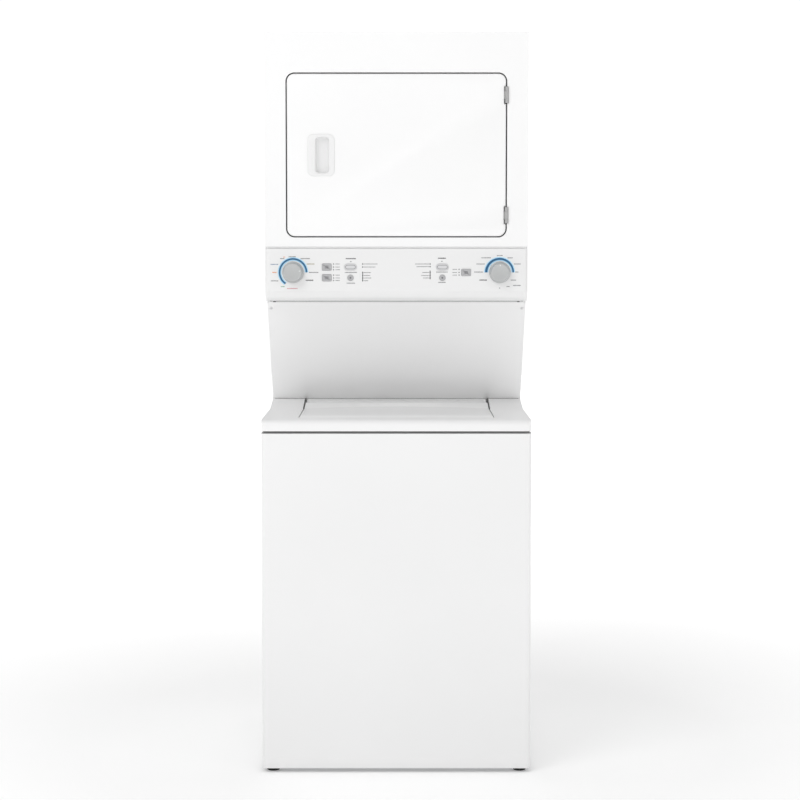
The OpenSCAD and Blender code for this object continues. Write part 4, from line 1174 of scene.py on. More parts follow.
# Painted shade: a dark grey for the strips that stand for the shadow in the washer's top gap and at the
# splash panel's foot.
def return_painted_shade_grey():
    return finish_material("Return painted shade grey", "skin", (0.26, 0.26, 0.26), bump=0.05, distance=0.0001,
                           skin_scale=900.0, roughness_low=0.4, roughness_high=0.5)


def build_dryer_return(bm):
    low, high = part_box("console")
    reach = high.x - 3 * MM
    block(bm, -reach, reach, low.y + 4.5 * MM, low.y + 9 * MM, high.z + 0.2 * MM, high.z + 4.8 * MM)


# Painted shade: a dark grey strip behind the gap over the washer front panel stands for the shadow in that
# gap.
def build_washer_gap_painted_shade(bm):
    low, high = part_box("washer_front_panel")
    reach = high.x - 6 * MM
    block(bm, -reach, reach, low.y + 7 * MM, low.y + 12 * MM, high.z + 0.2 * MM, high.z + 5.6 * MM)


# Painted shade: a near-black strip under the console's lower front edge stands for the shadow in its gap to
# the splash panel; dark posts and tabs at its ends share the colour.
def build_console_gap_painted_shade(bm):
    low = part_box("console")[0]
    skin = [v.co.y for v in frame["nodes"]["console"].data.vertices if v.co.z < low.z + 2 * MM]
    front = min(skin)
    reach = 321 * MM
    block(bm, -reach, reach, front + 1 * MM, front + 5 * MM, low.z - 1.6 * MM, low.z - 0.05 * MM)
    for side in (-1, 1):
        x = side * reach
        turned(bm, [(3.4 * MM, low.z - 3.2 * MM), (3.4 * MM, low.z - 0.05 * MM)],
               (x, front + 4 * MM, 0), "Z", 20)
        x = side * (reach + 8 * MM)
        block(bm, x - 3.5 * MM, x + 3.5 * MM, front + 2 * MM, front + 5 * MM,
              low.z - 1.4 * MM, low.z - 0.05 * MM)


# Painted shade: a dark grey strip along the splash panel's foot stands for the shadow in its gap to the deck.
def build_splash_foot_painted_shade(bm):
    low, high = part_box("splash_panel")
    foot = [v.co for v in frame["nodes"]["splash_panel"].data.vertices if v.co.z < low.z + 1 * MM]
    front = min(p.y for p in foot)
    reach = high.x - 4 * MM
    block(bm, -reach, reach, front - 0.9 * MM, front + 0.4 * MM, low.z - 0.4 * MM, low.z + 1.5 * MM)


def build_lid_painted_shade(bm):
    """A dark strip of painted shadow in the gap beside each rear end of the lid, lying on the deck's ramp"""
    low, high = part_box("washer_lid")
    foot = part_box("splash_panel")[0].z
    flat = low.z + 17 * MM
    crease, run = -21 * MM, 132 * MM
    start, end = crease + 2 * MM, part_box("splash_panel")[1].y - 2 * MM
    slope = (foot - flat) / run
    for side in (-1, 1):
        inner, outer = side * (high.x + 0.5 * MM), side * (high.x + 3.6 * MM)
        rings = []
        for y in (start, end):
            rise = flat + slope * (y - crease)
            rings.append(ring(bm, [(x, y, rise + lift) for x, lift in (
                (inner, -1.5 * MM), (outer, -1.5 * MM), (outer, 0.9 * MM), (inner, 0.9 * MM))]))
        capped(bm, rings)


# ---------------------------------------------------------------- operators: screws and feet


class LAUNDRY_OT_fixings(bpy.types.Operator):
    """Pan-head screws with cross recesses, and the levelling feet on their threaded studs"""

    bl_idname = "laundry.fixings"
    bl_label = "Screws and feet"

    def execute(self, context):
        stands_for("screws", build_screws, smooth=30)
        for node in ("foot_front_left", "foot_front_right", "foot_rear_left", "foot_rear_right"):
            stands_for(node, lambda bm, n=node: build_foot(bm, n))
        return {"FINISHED"}


def screw(bm, seat, out):
    """A pan head with a cross recess, its seat at a point and its crown towards out"""
    out = Vector(out).normalized()
    side = out.orthogonal().normalized()
    up = out.cross(side)
    sides = 24
    rows = [(2.0, -8.0), (2.0, 0.0), (4.2, 0.05), (4.2, 0.7), (3.8, 1.5), (3.0, 2.05), (2.0, 2.25)]
    rings = []
    for radius, rise in rows:
        rings.append(ring(bm, [
            seat + out * rise * MM + radius * MM * (math.cos(a) * side + math.sin(a) * up)
            for a in (2 * math.pi * i / sides for i in range(sides))]))
    cross = []
    for i in range(sides):
        a = 2 * math.pi * i / sides
        reach = 1.9 if i % 6 == 0 else 0.6
        cross.append(seat + out * 2.2 * MM + reach * MM * (math.cos(a) * side + math.sin(a) * up))
    rings.append(ring(bm, cross))
    rings.append(ring(bm, [p - out * 1.3 * MM - (p - seat - out * 2.2 * MM) * 0.3 for p in cross]))
    capped(bm, rings)


def build_screws(bm):
    """Rebuilds each screw of the CAD node from the middle of its head"""
    source = bmesh.new()
    source.from_mesh(frame["nodes"]["screws"].data)
    bmesh.ops.remove_doubles(source, verts=source.verts, dist=1e-6)
    seen = set()
    panel_low, panel_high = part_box("splash_panel")
    for vert in source.verts:
        if vert in seen:
            continue
        group, queue = [], [vert]
        seen.add(vert)
        while queue:
            v = queue.pop()
            group.append(v.co.copy())
            for edge in v.link_edges:
                other = edge.other_vert(v)
                if other not in seen:
                    seen.add(other)
                    queue.append(other)
        low = Vector([min(p[i] for p in group) for i in range(3)])
        high = Vector([max(p[i] for p in group) for i in range(3)])
        centre = (low + high) / 2
        if centre.y > panel_high.y + 50 * MM:
            screw(bm, Vector((centre.x, high.y - 2.4 * MM, centre.z)), (0, 1, 0))
        else:
            tilt = math.atan2(panel_high.y - panel_low.y, panel_high.z - 7 * MM - panel_low.z)
            out = Vector((0, -math.cos(tilt), -math.sin(tilt)))
            crown = max(group, key=lambda p: p.dot(out)).dot(out)
            seat = centre + out * (crown - centre.dot(out) - 2.3 * MM)
            screw(bm, seat, out)
    source.free()


def build_foot(bm, node):
    low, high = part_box(node)
    centre = (low + high) / 2
    pad = [(15.2, 0), (16, 0.8), (16, 3.6), (15.4, 5.2), (13.5, 6.0), (9, 6.0), (9, 9)]
    thread = []
    z = 9.0
    while z + 1.5 < (high.z - low.z) / MM:
        thread += [(4.4, z), (5.0, z + 0.6), (5.0, z + 0.9), (4.4, z + 1.5)]
        z += 1.5
    turned(bm, [(r * MM, low.z + z * MM) for r, z in pad + thread], (centre.x, centre.y, 0), "Z", 48)


class LAUNDRY_OT_wash_basket(bpy.types.Operator):
    """Perforated steel wash basket with its balance ring, the agitator and the tub round them"""

    bl_idname = "laundry.wash_basket"
    bl_label = "Wash basket"

    def execute(self, context):
        stands_for("wash_basket", build_basket, smooth=25)
        stands_for("balance_ring", build_balance_ring)
        stands_for("agitator", build_agitator, smooth=40)
        stands_for("outer_tub", build_tub)
        softened("tub_ring", 0.8 * MM)
        return {"FINISHED"}


def build_basket(bm):
    low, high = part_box("wash_basket")
    centre = (low + high) / 2
    radius, wall = (high.x - low.x) / 2, 2 * MM
    floor = low.z + 22 * MM
    columns, rows = 96, 26
    z0, z1 = floor + 14 * MM, high.z - 46 * MM
    hole = sizes().basket_hole / 2

    def on(r, a, z):
        return (centre.x + r * math.cos(a), centre.y + r * math.sin(a), z)

    angles = [2 * math.pi * i / columns for i in range(columns)]
    for r in (radius, radius - wall):
        border = [ring(bm, [on(r, a, z0 + (z1 - z0) * k / rows) for a in angles]) for k in range(rows + 1)]
        for k in range(rows):
            for i in range(columns):
                j = (i + 1) % columns
                frame_verts = (border[k][i], border[k][j], border[k + 1][j], border[k + 1][i])
                if (i + k) % 2:
                    bm.faces.new(frame_verts)
                    continue
                mid_a = 2 * math.pi * (i + 0.5) / columns
                mid_z = z0 + (z1 - z0) * (k + 0.5) / rows
                rim = ring(bm, [on(r, mid_a + hole * math.cos(t) / radius, mid_z + hole * math.sin(t))
                                for t in (math.pi * (5 / 4 + q / 4) for q in range(8))])
                for q in range(4):
                    corner, ahead = frame_verts[q], frame_verts[(q + 1) % 4]
                    bm.faces.new((corner, rim[(2 * q + 1) % 8], rim[2 * q]))
                    bm.faces.new((corner, ahead, rim[(2 * q + 2) % 8], rim[(2 * q + 1) % 8]))
        rim_up = ring(bm, [on(r, a, high.z) for a in angles])
        grid_faces(bm, [border[-1], rim_up])
        if r == radius:
            outer_top, outer_low = rim_up, border[0]
        else:
            grid_faces(bm, [outer_top, rim_up])
            inner_low = border[0]
    foot = ring(bm, [on(radius, a, floor) for a in angles])
    grid_faces(bm, [foot, outer_low])
    seat = ring(bm, [on(radius - wall, a, floor + 4 * MM) for a in angles])
    grid_faces(bm, [seat, inner_low])
    hub_low = ring(bm, [on(45 * MM, a, floor) for a in angles])
    hub_high = ring(bm, [on(45 * MM, a, floor + 4 * MM) for a in angles])
    grid_faces(bm, [foot, hub_low])
    grid_faces(bm, [seat, hub_high])
    boss = ring(bm, [on(45 * MM, a, low.z) for a in angles])
    bore = ring(bm, [on(14.05 * MM, a, low.z) for a in angles])
    bore_top = ring(bm, [on(14.05 * MM, a, floor + 4 * MM) for a in angles])
    grid_faces(bm, [hub_low, boss, bore, bore_top, hub_high])


def build_balance_ring(bm):
    low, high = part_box("balance_ring")
    centre = (low + high) / 2
    r = (high.x - low.x) / 2
    z0, z1 = low.z, high.z
    profile = [(r, z0), (r, z1 - 3 * MM), (r - 1.2 * MM, z1 - 0.8 * MM), (r - 3.5 * MM, z1),
               (r - 9 * MM, z1), (r - 10.5 * MM, z1 - 1.6 * MM), (r - 12 * MM, z1 - 1.6 * MM),
               (r - 13.5 * MM, z1), (r - 22 * MM, z1), (r - 24.8 * MM, z1 - 1.2 * MM),
               (r - 26 * MM, z1 - 4 * MM), (r - 26 * MM, z0 + 3 * MM), (r - 24 * MM, z0)]
    turned(bm, profile, (centre.x, centre.y, 0), "Z", 128, closed=True)


def build_agitator(bm):
    low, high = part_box("agitator")
    centre = (low + high) / 2
    reach = (high.x - low.x) / 2
    z0, tall = low.z, high.z - low.z
    k = MM
    profile = [(14 * k, z0 + 60 * k), (14 * k, z0), (reach - 3 * k, z0), (reach, z0 + 3 * k),
               (reach - 0.5 * k, z0 + 8 * k),
               (reach - 6 * k, z0 + 11 * k), (reach - 22 * k, z0 + 16.5 * k), (reach - 45 * k, z0 + 25 * k),
               (90 * k, z0 + 45 * k), (76 * k, z0 + 63 * k), (67 * k, z0 + 90 * k), (62 * k, z0 + 112 * k)]
    for i in range(1, 8):
        share = i / 8
        profile.append(((62 - 10 * share) * k, z0 + 112 * k + (tall - 142 * k) * share))
    profile += [(52 * k, z0 + tall - 32 * k), (50 * k, z0 + tall - 18 * k), (45 * k, z0 + tall - 8 * k),
                (36 * k, z0 + tall - 3 * k), (20 * k, z0 + tall)]
    turned(bm, profile, (centre.x, centre.y, 0), "Z", 96)
    for blade in range(4):
        rows = []
        for i in range(15):
            share = i / 14
            z = z0 + 12 * k + share * (tall - 130 * k)
            outer = (reach - 8 * k) * (1 - share) ** 1.4 + 66 * k * (1 - (1 - share) ** 1.4)
            sweep = 0.30 * math.sin(share * math.pi / 2)
            row = []
            for r, w in ((40 * k, 6 * k), (outer - 3 * k, 4.2 * k), (outer, 2 * k), (outer, -2 * k),
                         (outer - 3 * k, -4.2 * k), (40 * k, -6 * k)):
                a = blade * math.pi / 2 + sweep * (r / reach)
                row.append((centre.x + r * math.cos(a) - w * math.sin(a),
                            centre.y + r * math.sin(a) + w * math.cos(a), z))
            rows.append(ring(bm, row))
        capped(bm, rows)
    for flight in range(2):
        rows = []
        for i in range(49):
            share = i / 48
            a = flight * math.pi + share * 2.2 * math.pi
            z = z0 + tall - 150 * k + share * 112 * k
            rise = min(1.0, 6 * share, 6 * (1 - share))
            out = (62 - 8 * share) * k + 9 * k * rise
            row = []
            for r, dz in ((46 * k, 3.5 * k), (out, 1.4 * k), (out, -1.4 * k), (46 * k, -3.5 * k)):
                row.append((centre.x + r * math.cos(a), centre.y + r * math.sin(a), z + dz))
            rows.append(ring(bm, row))
        capped(bm, rows)


def build_tub(bm):
    """The CAD tub with moulded hoops and uprights round its wall"""
    bm.from_mesh(frame["nodes"]["outer_tub"].data)
    low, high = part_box("outer_tub")
    basket = middle("wash_basket")
    basket_low, basket_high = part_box("wash_basket")
    radius = (basket_high.x - basket_low.x) / 2 + 33 * MM
    for share in (0.3, 0.55, 0.8):
        z = low.z + (high.z - low.z) * share
        profile = [(radius - 1 * MM, z - 2 * MM), (radius + 3.5 * MM, z - 1.2 * MM),
                   (radius + 3.5 * MM, z + 1.2 * MM), (radius - 1 * MM, z + 2 * MM)]
        turned(bm, profile, (basket.x, basket.y, 0), "Z", 96, closed=True)
    for i in range(24):
        a = math.radians(7.5 + 15 * i)
        c, s = math.cos(a), math.sin(a)
        corners = []
        for z in (low.z + 40 * MM, high.z - 16 * MM):
            corners.append(ring(bm, [
                (basket.x + r * c - w * s, basket.y + r * s + w * c, z)
                for r, w in ((radius - 1 * MM, 1.3 * MM), (radius + 3 * MM, 1 * MM),
                             (radius + 3 * MM, -1 * MM), (radius - 1 * MM, -1.3 * MM))]))
        capped(bm, corners)


class LAUNDRY_OT_washer_drive(bpy.types.Operator):
    """Suspension springs, motor, belt, pump and the tub's hose"""

    bl_idname = "laundry.washer_drive"
    bl_label = "Washer drive"

    def execute(self, context):
        stands_for("suspension_rods", build_suspension)
        stands_for("washer_drive_belt", lambda bm: build_ribbed_belt(
            bm, middle_xy("washer_drive_pulley"), middle_xy("washer_motor_pulley"), "Z",
            95.3 * MM, 25.3 * MM, 4 * MM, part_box("washer_drive_belt")))
        stands_for("washer_motor", lambda bm: build_motor(bm, "washer_motor"))
        for node, width in (("gearcase", 1.0), ("washer_drive_pulley", 0.5), ("washer_motor_pulley", 0.3),
                            ("drain_pump", 1.2), ("water_valve", 0.7), ("drain_hose", 0.4),
                            ("lid_hinge_pins", 0.4)):
            softened(node, width * MM)
        return {"FINISHED"}


def middle_xy(node):
    centre = middle(node)
    return Vector((centre.x, centre.y, 0))


def build_suspension(bm):
    low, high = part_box("suspension_rods")
    reach_x = high.x - 15 * MM
    reach_y = (high.y - low.y) / 2 - 15 * MM
    mid_y = (high.y + low.y) / 2
    for sx in (-1, 1):
        for sy in (-1, 1):
            hub = (sx * reach_x, mid_y + sy * reach_y, 0)
            turned(bm, [(3 * MM, low.z + 4 * MM), (3 * MM, high.z - 6 * MM)], hub, "Z", 20)
            turned(bm, [(13 * MM, low.z), (15 * MM, low.z + 1 * MM), (15 * MM, low.z + 5 * MM),
                        (13.6 * MM, low.z + 6 * MM)],
                   hub, "Z", 32)
            turned(bm, [(10 * MM, high.z - 8 * MM), (10 * MM, high.z - 4 * MM), (8.6 * MM, high.z - 1 * MM),
                        (5 * MM, high.z)], hub, "Z", 32)
            coils = 10
            path = []
            for i in range(coils * 16 + 1):
                a = 2 * math.pi * i / 16
                path.append((hub[0] + 11.2 * MM * math.cos(a), hub[1] + 11.2 * MM * math.sin(a),
                             low.z + 7.6 * MM + 71 * MM * i / (coils * 16)))
            tube(bm, path, 1.7 * MM, 8)


def belt_path(first, second, r1, r2, steps=48):
    """Points of the loop round two pulleys in their own plane, as offsets (along, across)"""
    span = (second - first).length
    lean = math.asin((r1 - r2) / span)
    points = []
    for i in range(steps + 1):
        a = math.pi / 2 - lean + (math.pi + 2 * lean) * i / steps
        points.append((r1 * math.cos(a), r1 * math.sin(a)))
    for i in range(steps // 2 + 1):
        a = -math.pi / 2 - (-lean) + (math.pi - 2 * lean) * i / (steps // 2)
        points.append((span + r2 * math.cos(a), r2 * math.sin(a)))
    return points


def build_ribbed_belt(bm, first, second, axis, r1, r2, thick, bounds):
    """A belt with fine ribs along its inner face"""
    low, high = bounds
    along = (second - first).normalized()
    normal = Vector((0, 0, 1)) if axis == "Z" else Vector((0, 1, 0))
    across = normal.cross(along)
    start, end = (low.z, high.z) if axis == "Z" else (low.y, high.y)
    width = end - start
    ribs = 5
    section = [(thick * 0.98, 0.02), (thick * 0.98, 0.98)]
    for i in range(ribs):
        section += [(0.35 * thick, 1 - (i + 0.02) / ribs), (0.05 * thick, 1 - (i + 0.3) / ribs),
                    (0.05 * thick, 1 - (i + 0.7) / ribs), (0.35 * thick, 1 - (i + 0.98) / ribs)]
    loops = []
    for lift, share in section:
        loop = []
        for u, v in belt_path(first, second, r1 + lift, r2 + lift):
            point = first + along * u + across * v
            level = start + width * share
            point = Vector((point.x, point.y, level)) if axis == "Z" else Vector((point.x, level, point.z))
            loop.append(point)
        loops.append(ring(bm, loop))
    grid_faces(bm, loops + [loops[0]])


def build_motor(bm, node):
    """The CAD motor with a finned band and end bells"""
    bm.from_mesh(frame["nodes"][node].data)
    low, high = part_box(node)
    if node == "washer_motor":
        axis, radius = "Z", 60 * MM
        hub = middle("washer_motor_pulley")
        centre = (hub.x, hub.y, 0)
        start, end = low.z + 14 * MM, high.z - 30 * MM
    else:
        axis, radius = "Y", 55 * MM
        centre = (middle(node).x, 0, middle(node).z)
        start, end = low.y + 22 * MM, high.y - 22 * MM
    count = 9
    for i in range(count):
        at = start + (end - start) * i / (count - 1)
        profile = [(radius - 1 * MM, at - 1.3 * MM), (radius + 0.04 * MM, at - 1.1 * MM),
                   (radius + 0.04 * MM, at + 1.1 * MM),
                   (radius - 1 * MM, at + 1.3 * MM)]
        turned(bm, profile, centre, axis, 64, closed=True)


class LAUNDRY_OT_dryer_drum(bpy.types.Operator):
    """Dryer drum with rolled beads and a vented back, its baffles, belt and lint filter"""

    bl_idname = "laundry.dryer_drum"
    bl_label = "Dryer drum"

    def execute(self, context):
        stands_for("drum", build_drum, smooth=25)
        softened("drum_baffles", 3.0 * MM, 3)
        drum_at = Vector((0, 0, middle("drum").z))
        wheel = middle("blower_wheel")
        stands_for("drum_belt", lambda bm: build_ribbed_belt(
            bm, drum_at, Vector((wheel.x, 0, wheel.z)), "Y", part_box("drum")[1].x + 0.3 * MM, 12.3 * MM,
            3 * MM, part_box("drum_belt")))
        stands_for("lint_filter", build_lint_filter)
        return {"FINISHED"}


def build_drum(bm):
    low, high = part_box("drum")
    r = high.x
    z = middle("drum").z
    y0 = low.y
    y1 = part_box("drum_baffles")[1].y + 12 * MM
    sheet = 1.5 * MM
    centre = (0, 0, z)
    ring_r = r - 13 * MM

    def bead(y):
        return [(0.0, y - 7 * MM), (1.1 * MM, y - 4 * MM), (2.2 * MM, y), (1.1 * MM, y + 4 * MM),
                (0.0, y + 7 * MM)]

    outer = [(ring_r, y0), (r - 3 * MM, y0), (r - 0.8 * MM, y0 + 0.8 * MM), (r, y0 + 3 * MM)]
    for share in (0.12, 0.42, 0.90):
        outer += [(r - depth, at) for depth, at in bead(y0 + (y1 - y0) * share)]
    outer += [(r, y1 - 6 * MM), (r - 1.8 * MM, y1 - 1.8 * MM), (r - 6 * MM, y1)]
    inner = [(radius - sheet, min(max(at, y0 + sheet), y1 - sheet)) for radius, at in outer[2:-1]]
    back_in, back_out = y1 - sheet, y1
    profile = [(ring_r, y0 + sheet)] + inner + [(r - 7 * MM, back_in)]
    turned_open(bm, profile + [(250 * MM, back_in)], centre)
    turned_open(bm, outer + [(250 * MM, back_out)], centre)
    turned_open(bm, [(ring_r, y0), (ring_r, y0 + sheet)], centre)
    vent_plate(bm, centre, 150 * MM, 250 * MM, back_in, back_out)
    turned_open(bm, [(150 * MM, back_in), (150 * MM - 6 * MM, back_in - 3 * MM), (61 * MM, back_in - 3 * MM),
                     (58 * MM, back_in), (2 * MM, back_in)], centre)
    turned_open(bm, [(150 * MM, back_out), (60 * MM, back_out), (60 * MM, back_out + 4 * MM),
                     (10 * MM, back_out + 4 * MM),
                     (10 * MM, high.y), (2 * MM, high.y), (2 * MM, back_in)], centre)
    bmesh.ops.remove_doubles(bm, verts=bm.verts, dist=1e-6)


def turned_open(bm, profile, centre, segments=96):
    rings = []
    for radius, along in profile:
        rings.append(ring(bm, [
            (centre[0] + radius * math.cos(a), along, centre[2] + radius * math.sin(a))
            for a in (2 * math.pi * i / segments for i in range(segments))]))
    grid_faces(bm, rings)


def vent_plate(bm, centre, r_in, r_out, y_in, y_out):
    """An annulus of round vent holes through a sheet"""
    columns, rows = 96, 10
    hole = 2.6 * MM
    rims = []
    for y in (y_in, y_out):
        border = []
        for k in range(rows + 1):
            r = r_in + (r_out - r_in) * k / rows
            border.append(ring(bm, [(centre[0] + r * math.cos(a), y, centre[2] + r * math.sin(a))
                                    for a in (2 * math.pi * i / columns for i in range(columns))]))
        found = []
        for k in range(rows):
            for i in range(columns):
                j = (i + 1) % columns
                corners = (border[k][i], border[k][j], border[k + 1][j], border[k + 1][i])
                if (i + k) % 2:
                    bm.faces.new(corners)
                    continue
                a = 2 * math.pi * (i + 0.5) / columns
                r = r_in + (r_out - r_in) * (k + 0.5) / rows
                out = Vector((math.cos(a), 0, math.sin(a)))
                along = Vector((-math.sin(a), 0, math.cos(a)))
                mid = Vector(centre) + out * r
                mid.y = y
                rim = ring(bm, [mid + hole * (math.cos(t) * along + math.sin(t) * out)
                                for t in (math.pi * (5 / 4 + q / 4) for q in range(8))])
                for q in range(4):
                    bm.faces.new((corners[q], rim[(2 * q + 1) % 8], rim[2 * q]))
                    bm.faces.new((corners[q], corners[(q + 1) % 4],
                                  rim[(2 * q + 2) % 8], rim[(2 * q + 1) % 8]))
                found.append(rim)
        rims.append(found)
    for first, second in zip(*rims):
        grid_faces(bm, [first, second])


def build_lint_filter(bm):
    """The CAD filter frame with a woven screen across its windows"""
    bm.from_mesh(frame["nodes"]["lint_filter"].data)
    low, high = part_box("lint_filter")
    mid_y = (low.y + high.y) / 2 - 0.5 * MM
    x0, x1 = low.x + 14 * MM, high.x - 14 * MM
    z0, z1 = low.z + 8 * MM, high.z - 12 * MM
    wire = 0.35 * MM
    for i in range(1, 56):
        x = x0 + (x1 - x0) * i / 56
        block(bm, x - wire, x + wire, mid_y - wire, mid_y + wire, z0, z1)
    for i in range(1, 22):
        z = z0 + (z1 - z0) * i / 22
        block(bm, x0, x1, mid_y - wire * 0.8, mid_y + wire * 0.8, z - wire, z + wire)


class LAUNDRY_OT_dryer_drive(bpy.types.Operator):
    """Dryer motor, blower, heater and exhaust duct"""

    bl_idname = "laundry.dryer_drive"
    bl_label = "Dryer drive"

    def execute(self, context):
        stands_for("dryer_motor", lambda bm: build_motor(bm, "dryer_motor"))
        stands_for("heater", build_heater)
        stands_for("exhaust_duct", build_duct)
        stands_for("control_board", build_board)
        for node, width in (("blower_wheel", 0.25), ("idler_arm", 0.3), ("idler_pulley", 0.5)):
            softened(node, width * MM)
        return {"FINISHED"}


def build_heater(bm):
    """Heater can with a coil of resistance wire on ceramic posts"""
    low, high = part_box("heater")
    centre = (0, 0, (low.z + high.z) / 2)
    r = (high.x - low.x) / 2
    y0, y1 = low.y, high.y
    t = 1.5 * MM
    turned(bm, [(r, y0), (r, y1), (80 * MM, y1), (80 * MM, y0), (82 * MM, y0), (82 * MM, y1 - t),
                (r - 2 * MM, y1 - t), (r - 2 * MM, y0)], centre, "Y", 96, closed=True)
    mid = (y0 + y1) / 2 + 1 * MM
    for loop_r in (110 * MM, 135 * MM, 160 * MM):
        turns = int(loop_r / MM * 0.8)
        path = []
        for i in range(turns * 8):
            a = 2 * math.pi * i / (turns * 8) * 0.97
            b = 2 * math.pi * i / 8
            rr = loop_r + 3 * MM * math.cos(b)
            path.append((rr * math.cos(a), mid + 3 * MM * math.sin(b), centre[2] + rr * math.sin(a)))
        tube(bm, path, 0.5 * MM, 5)
    for i in range(8):
        a = math.radians(22.5 + 45 * i)
        for loop_r in (122 * MM, 148 * MM):
            at = (loop_r * math.cos(a), 0, centre[2] + loop_r * math.sin(a))
            turned(bm, [(3 * MM, y1 - t), (3 * MM, mid - 4 * MM)], at, "Y", 12)


def build_duct(bm):
    """Exhaust duct whose stub has a stiffening bead"""
    low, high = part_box("exhaust_duct")
    centre = ((low.x + high.x) / 2, 0, (low.z + high.z) / 2)
    r = (high.x - low.x) / 2
    back = high.y - 25 * MM
    t = 0.8 * MM
    stub = [(r, back), (r, back + 7 * MM), (r - 1.2 * MM, back + 8.5 * MM), (r - 1.2 * MM, back + 9.5 * MM),
            (r, back + 11 * MM), (r, high.y - 0.4 * MM), (r - 0.4 * MM, high.y)]
    run = [(r - 1.5 * t, low.y), (r - 1.5 * t, back), *stub]
    inner = [(r - t, high.y), (r - t, back + 11 * MM), (r - t - 1.2 * MM, back + 9.5 * MM),
             (r - t - 1.2 * MM, back + 8.5 * MM), (r - t, back + 7 * MM), (r - t, back + 1.5 * MM),
             (r - 2.5 * t, back + 1.5 * MM), (r - 2.5 * t, low.y)]
    turned(bm, run + inner, centre, "Y", 96, closed=True)


def build_board(bm):
    """The CAD board with relays, chips and connectors on it"""
    bm.from_mesh(frame["nodes"]["control_board"].data)
    low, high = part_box("control_board")
    back = high.y
    dice = random.Random(7)
    for i in range(26):
        x = low.x + 24 * MM + (high.x - low.x - 48 * MM) * (i + 0.5) / 26
        z = (low.z + high.z) / 2 + dice.uniform(-26, 26) * MM
        w, h = dice.uniform(4, 9) * MM, dice.uniform(3, 7) * MM
        block(bm, x - w, x + w, back - 0.1 * MM, back - 0.02 * MM, z - h, z + h)


class LAUNDRY_OT_stage(bpy.types.Operator):
    """Lays a pale floor, soft studio lights and the camera"""

    bl_idname = "laundry.stage"
    bl_label = "Stage"

    def execute(self, context):
        make_floor()
        make_lights()
        make_camera()
        return {"FINISHED"}


FLOOR_RADIUS = 16.0
FLOOR_GLOW = (("From Min", 0.9), ("From Max", 4.5), ("To Min", 0.22), ("To Max", 0.80))


def make_floor():
    """A wide round pale floor that glows softly towards its rim"""
    mesh = bpy.data.meshes.new("studio_floor")
    bm = bmesh.new()
    bmesh.ops.create_circle(bm, cap_ends=True, segments=96, radius=FLOOR_RADIUS)
    bm.to_mesh(mesh)
    bm.free()
    floor = bpy.data.objects.new("studio_floor", mesh)
    bpy.context.scene.collection.objects.link(floor)
    material = finish_material(
        "Studio floor", "skin", (0.93, 0.93, 0.93), shade=(0.92, 0.92, 0.92), bump=0.02,
        skin_scale=300.0, roughness_low=0.55, roughness_high=0.65)
    nodes, links = material.node_tree.nodes, material.node_tree.links
    reach = nodes.new("ShaderNodeVectorMath")
    reach.operation = "LENGTH"
    links.new(nodes.new("ShaderNodeTexCoord").outputs["Object"], reach.inputs[0])
    glow = nodes.new("ShaderNodeMapRange")
    for label, value in FLOOR_GLOW:
        glow.inputs[label].default_value = value
    links.new(reach.outputs["Value"], glow.inputs["Value"])
    shader = nodes["Principled BSDF"]
    links.new(glow.outputs["Result"], shader.inputs["Emission Color"])
    shader.inputs["Emission Strength"].default_value = 1.0
    mesh.materials.append(material)


def area_light(name, place_at, look_at, width, height, watts):
    light = bpy.data.lights.new(name, "AREA")
    light.shape = "RECTANGLE"
    light.size, light.size_y = width, height
    light.energy = watts
    lamp = bpy.data.objects.new(name, light)
    lamp.location = place_at
    lamp.rotation_euler = (Vector(look_at) - Vector(place_at)).to_track_quat("-Z", "Y").to_euler()
    bpy.context.scene.collection.objects.link(lamp)


SKY_LIGHT = 0.60
SKY_SEEN = 1.05


def make_lights():
    world = bpy.data.worlds.new("Studio")
    world.use_nodes = True
    sky = world.node_tree.nodes["Background"]
    sky.inputs["Color"].default_value = (1.0, 1.0, 1.0, 1.0)
    nodes, links = world.node_tree.nodes, world.node_tree.links
    seen = nodes.new("ShaderNodeLightPath")
    level = nodes.new("ShaderNodeMapRange")
    level.inputs["To Min"].default_value = SKY_LIGHT
    level.inputs["To Max"].default_value = SKY_SEEN
    links.new(seen.outputs["Is Camera Ray"], level.inputs["Value"])
    links.new(level.outputs["Result"], sky.inputs["Strength"])
    bpy.context.scene.world = world
    area_light("key_left", (-1.9, -3.0, 3.9), (0, -0.1, 0.95), 2.2, 2.6, 47)
    area_light("fill_right", (3.0, -3.4, 2.7), (0, 0, 0.9), 2.2, 2.8, 14)
    area_light("back_wash", (0.8, 3.4, 3.2), (0, 0, 1.0), 3.0, 2.0, 8)


CAMERA_PLACE = (0.0094, -5.6284, 1.3474)
CAMERA_TILT = 4.251
CAMERA_LENS = 93.36


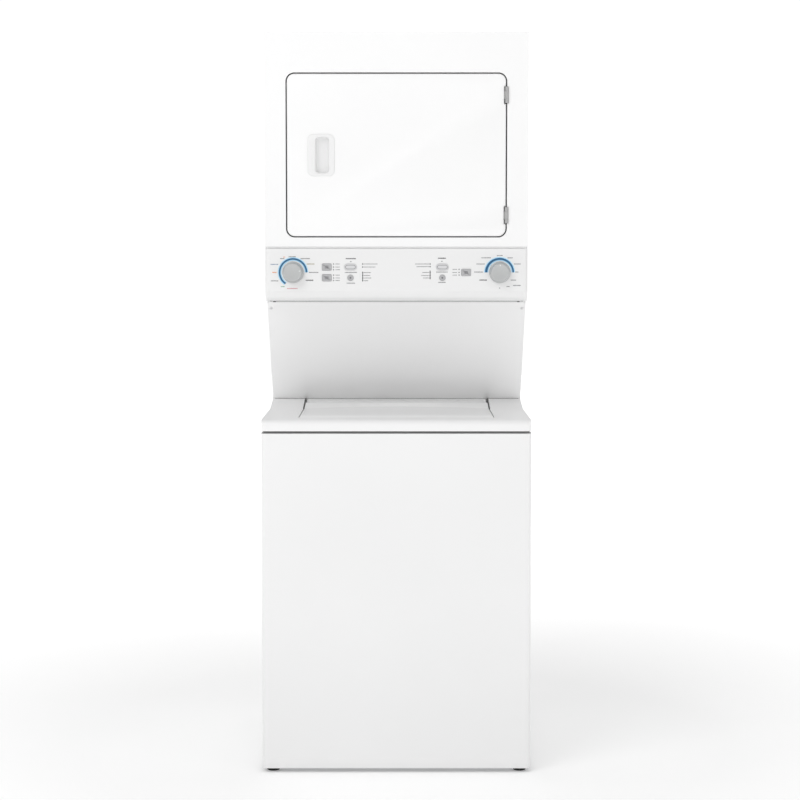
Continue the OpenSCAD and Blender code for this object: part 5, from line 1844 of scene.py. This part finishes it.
def make_camera():
    camera = bpy.data.cameras.new("camera")
    camera.lens = CAMERA_LENS
    camera.sensor_width = 36.0
    camera.clip_end = 60.0
    eye = bpy.data.objects.new("camera", camera)
    eye.location = CAMERA_PLACE
    eye.rotation_euler = (math.radians(90 - CAMERA_TILT), 0, 0)
    bpy.context.scene.collection.objects.link(eye)
    bpy.context.scene.camera = eye
    bpy.context.scene.view_settings.view_transform = "Standard"


# ---------------------------------------------------------------- panel and registration


OPERATORS = [
    LAUNDRY_OT_finishes, LAUNDRY_OT_sheet_steel, LAUNDRY_OT_washer_front, LAUNDRY_OT_lid,
    LAUNDRY_OT_door, LAUNDRY_OT_console, LAUNDRY_OT_knobs, LAUNDRY_OT_print,
    LAUNDRY_OT_seams, LAUNDRY_OT_fixings,
    LAUNDRY_OT_wash_basket, LAUNDRY_OT_washer_drive, LAUNDRY_OT_dryer_drum, LAUNDRY_OT_dryer_drive,
    LAUNDRY_OT_stage,
]


class LAUNDRY_PT_stack(bpy.types.Panel):
    """Lists the steps that finish the washer dryer stack"""

    bl_label = "Washer dryer stack"
    bl_idname = "LAUNDRY_PT_stack"
    bl_space_type = "VIEW_3D"
    bl_region_type = "UI"
    bl_category = "Laundry"

    def draw(self, context):
        column = self.layout.column()
        for operator in OPERATORS:
            column.operator(operator.bl_idname)
        for settings in (context.scene.stack_sizes, context.scene.stack_colours):
            for name in settings.bl_rna.properties.keys():
                if name not in ("rna_type", "name"):
                    column.prop(settings, name)


CLASSES = [StackSizes, StackColours, *OPERATORS, LAUNDRY_PT_stack]


def register():
    for cls in CLASSES:
        bpy.utils.register_class(cls)
    bpy.types.Scene.stack_sizes = bpy.props.PointerProperty(type=StackSizes)
    bpy.types.Scene.stack_colours = bpy.props.PointerProperty(type=StackColours)


def unregister():
    del bpy.types.Scene.stack_colours
    del bpy.types.Scene.stack_sizes
    for cls in reversed(CLASSES):
        bpy.utils.unregister_class(cls)


def main():
    register()
    for operator in OPERATORS:
        group, name = operator.bl_idname.split(".")
        getattr(getattr(bpy.ops, group), name)()


if __name__ == "__main__":
    main()
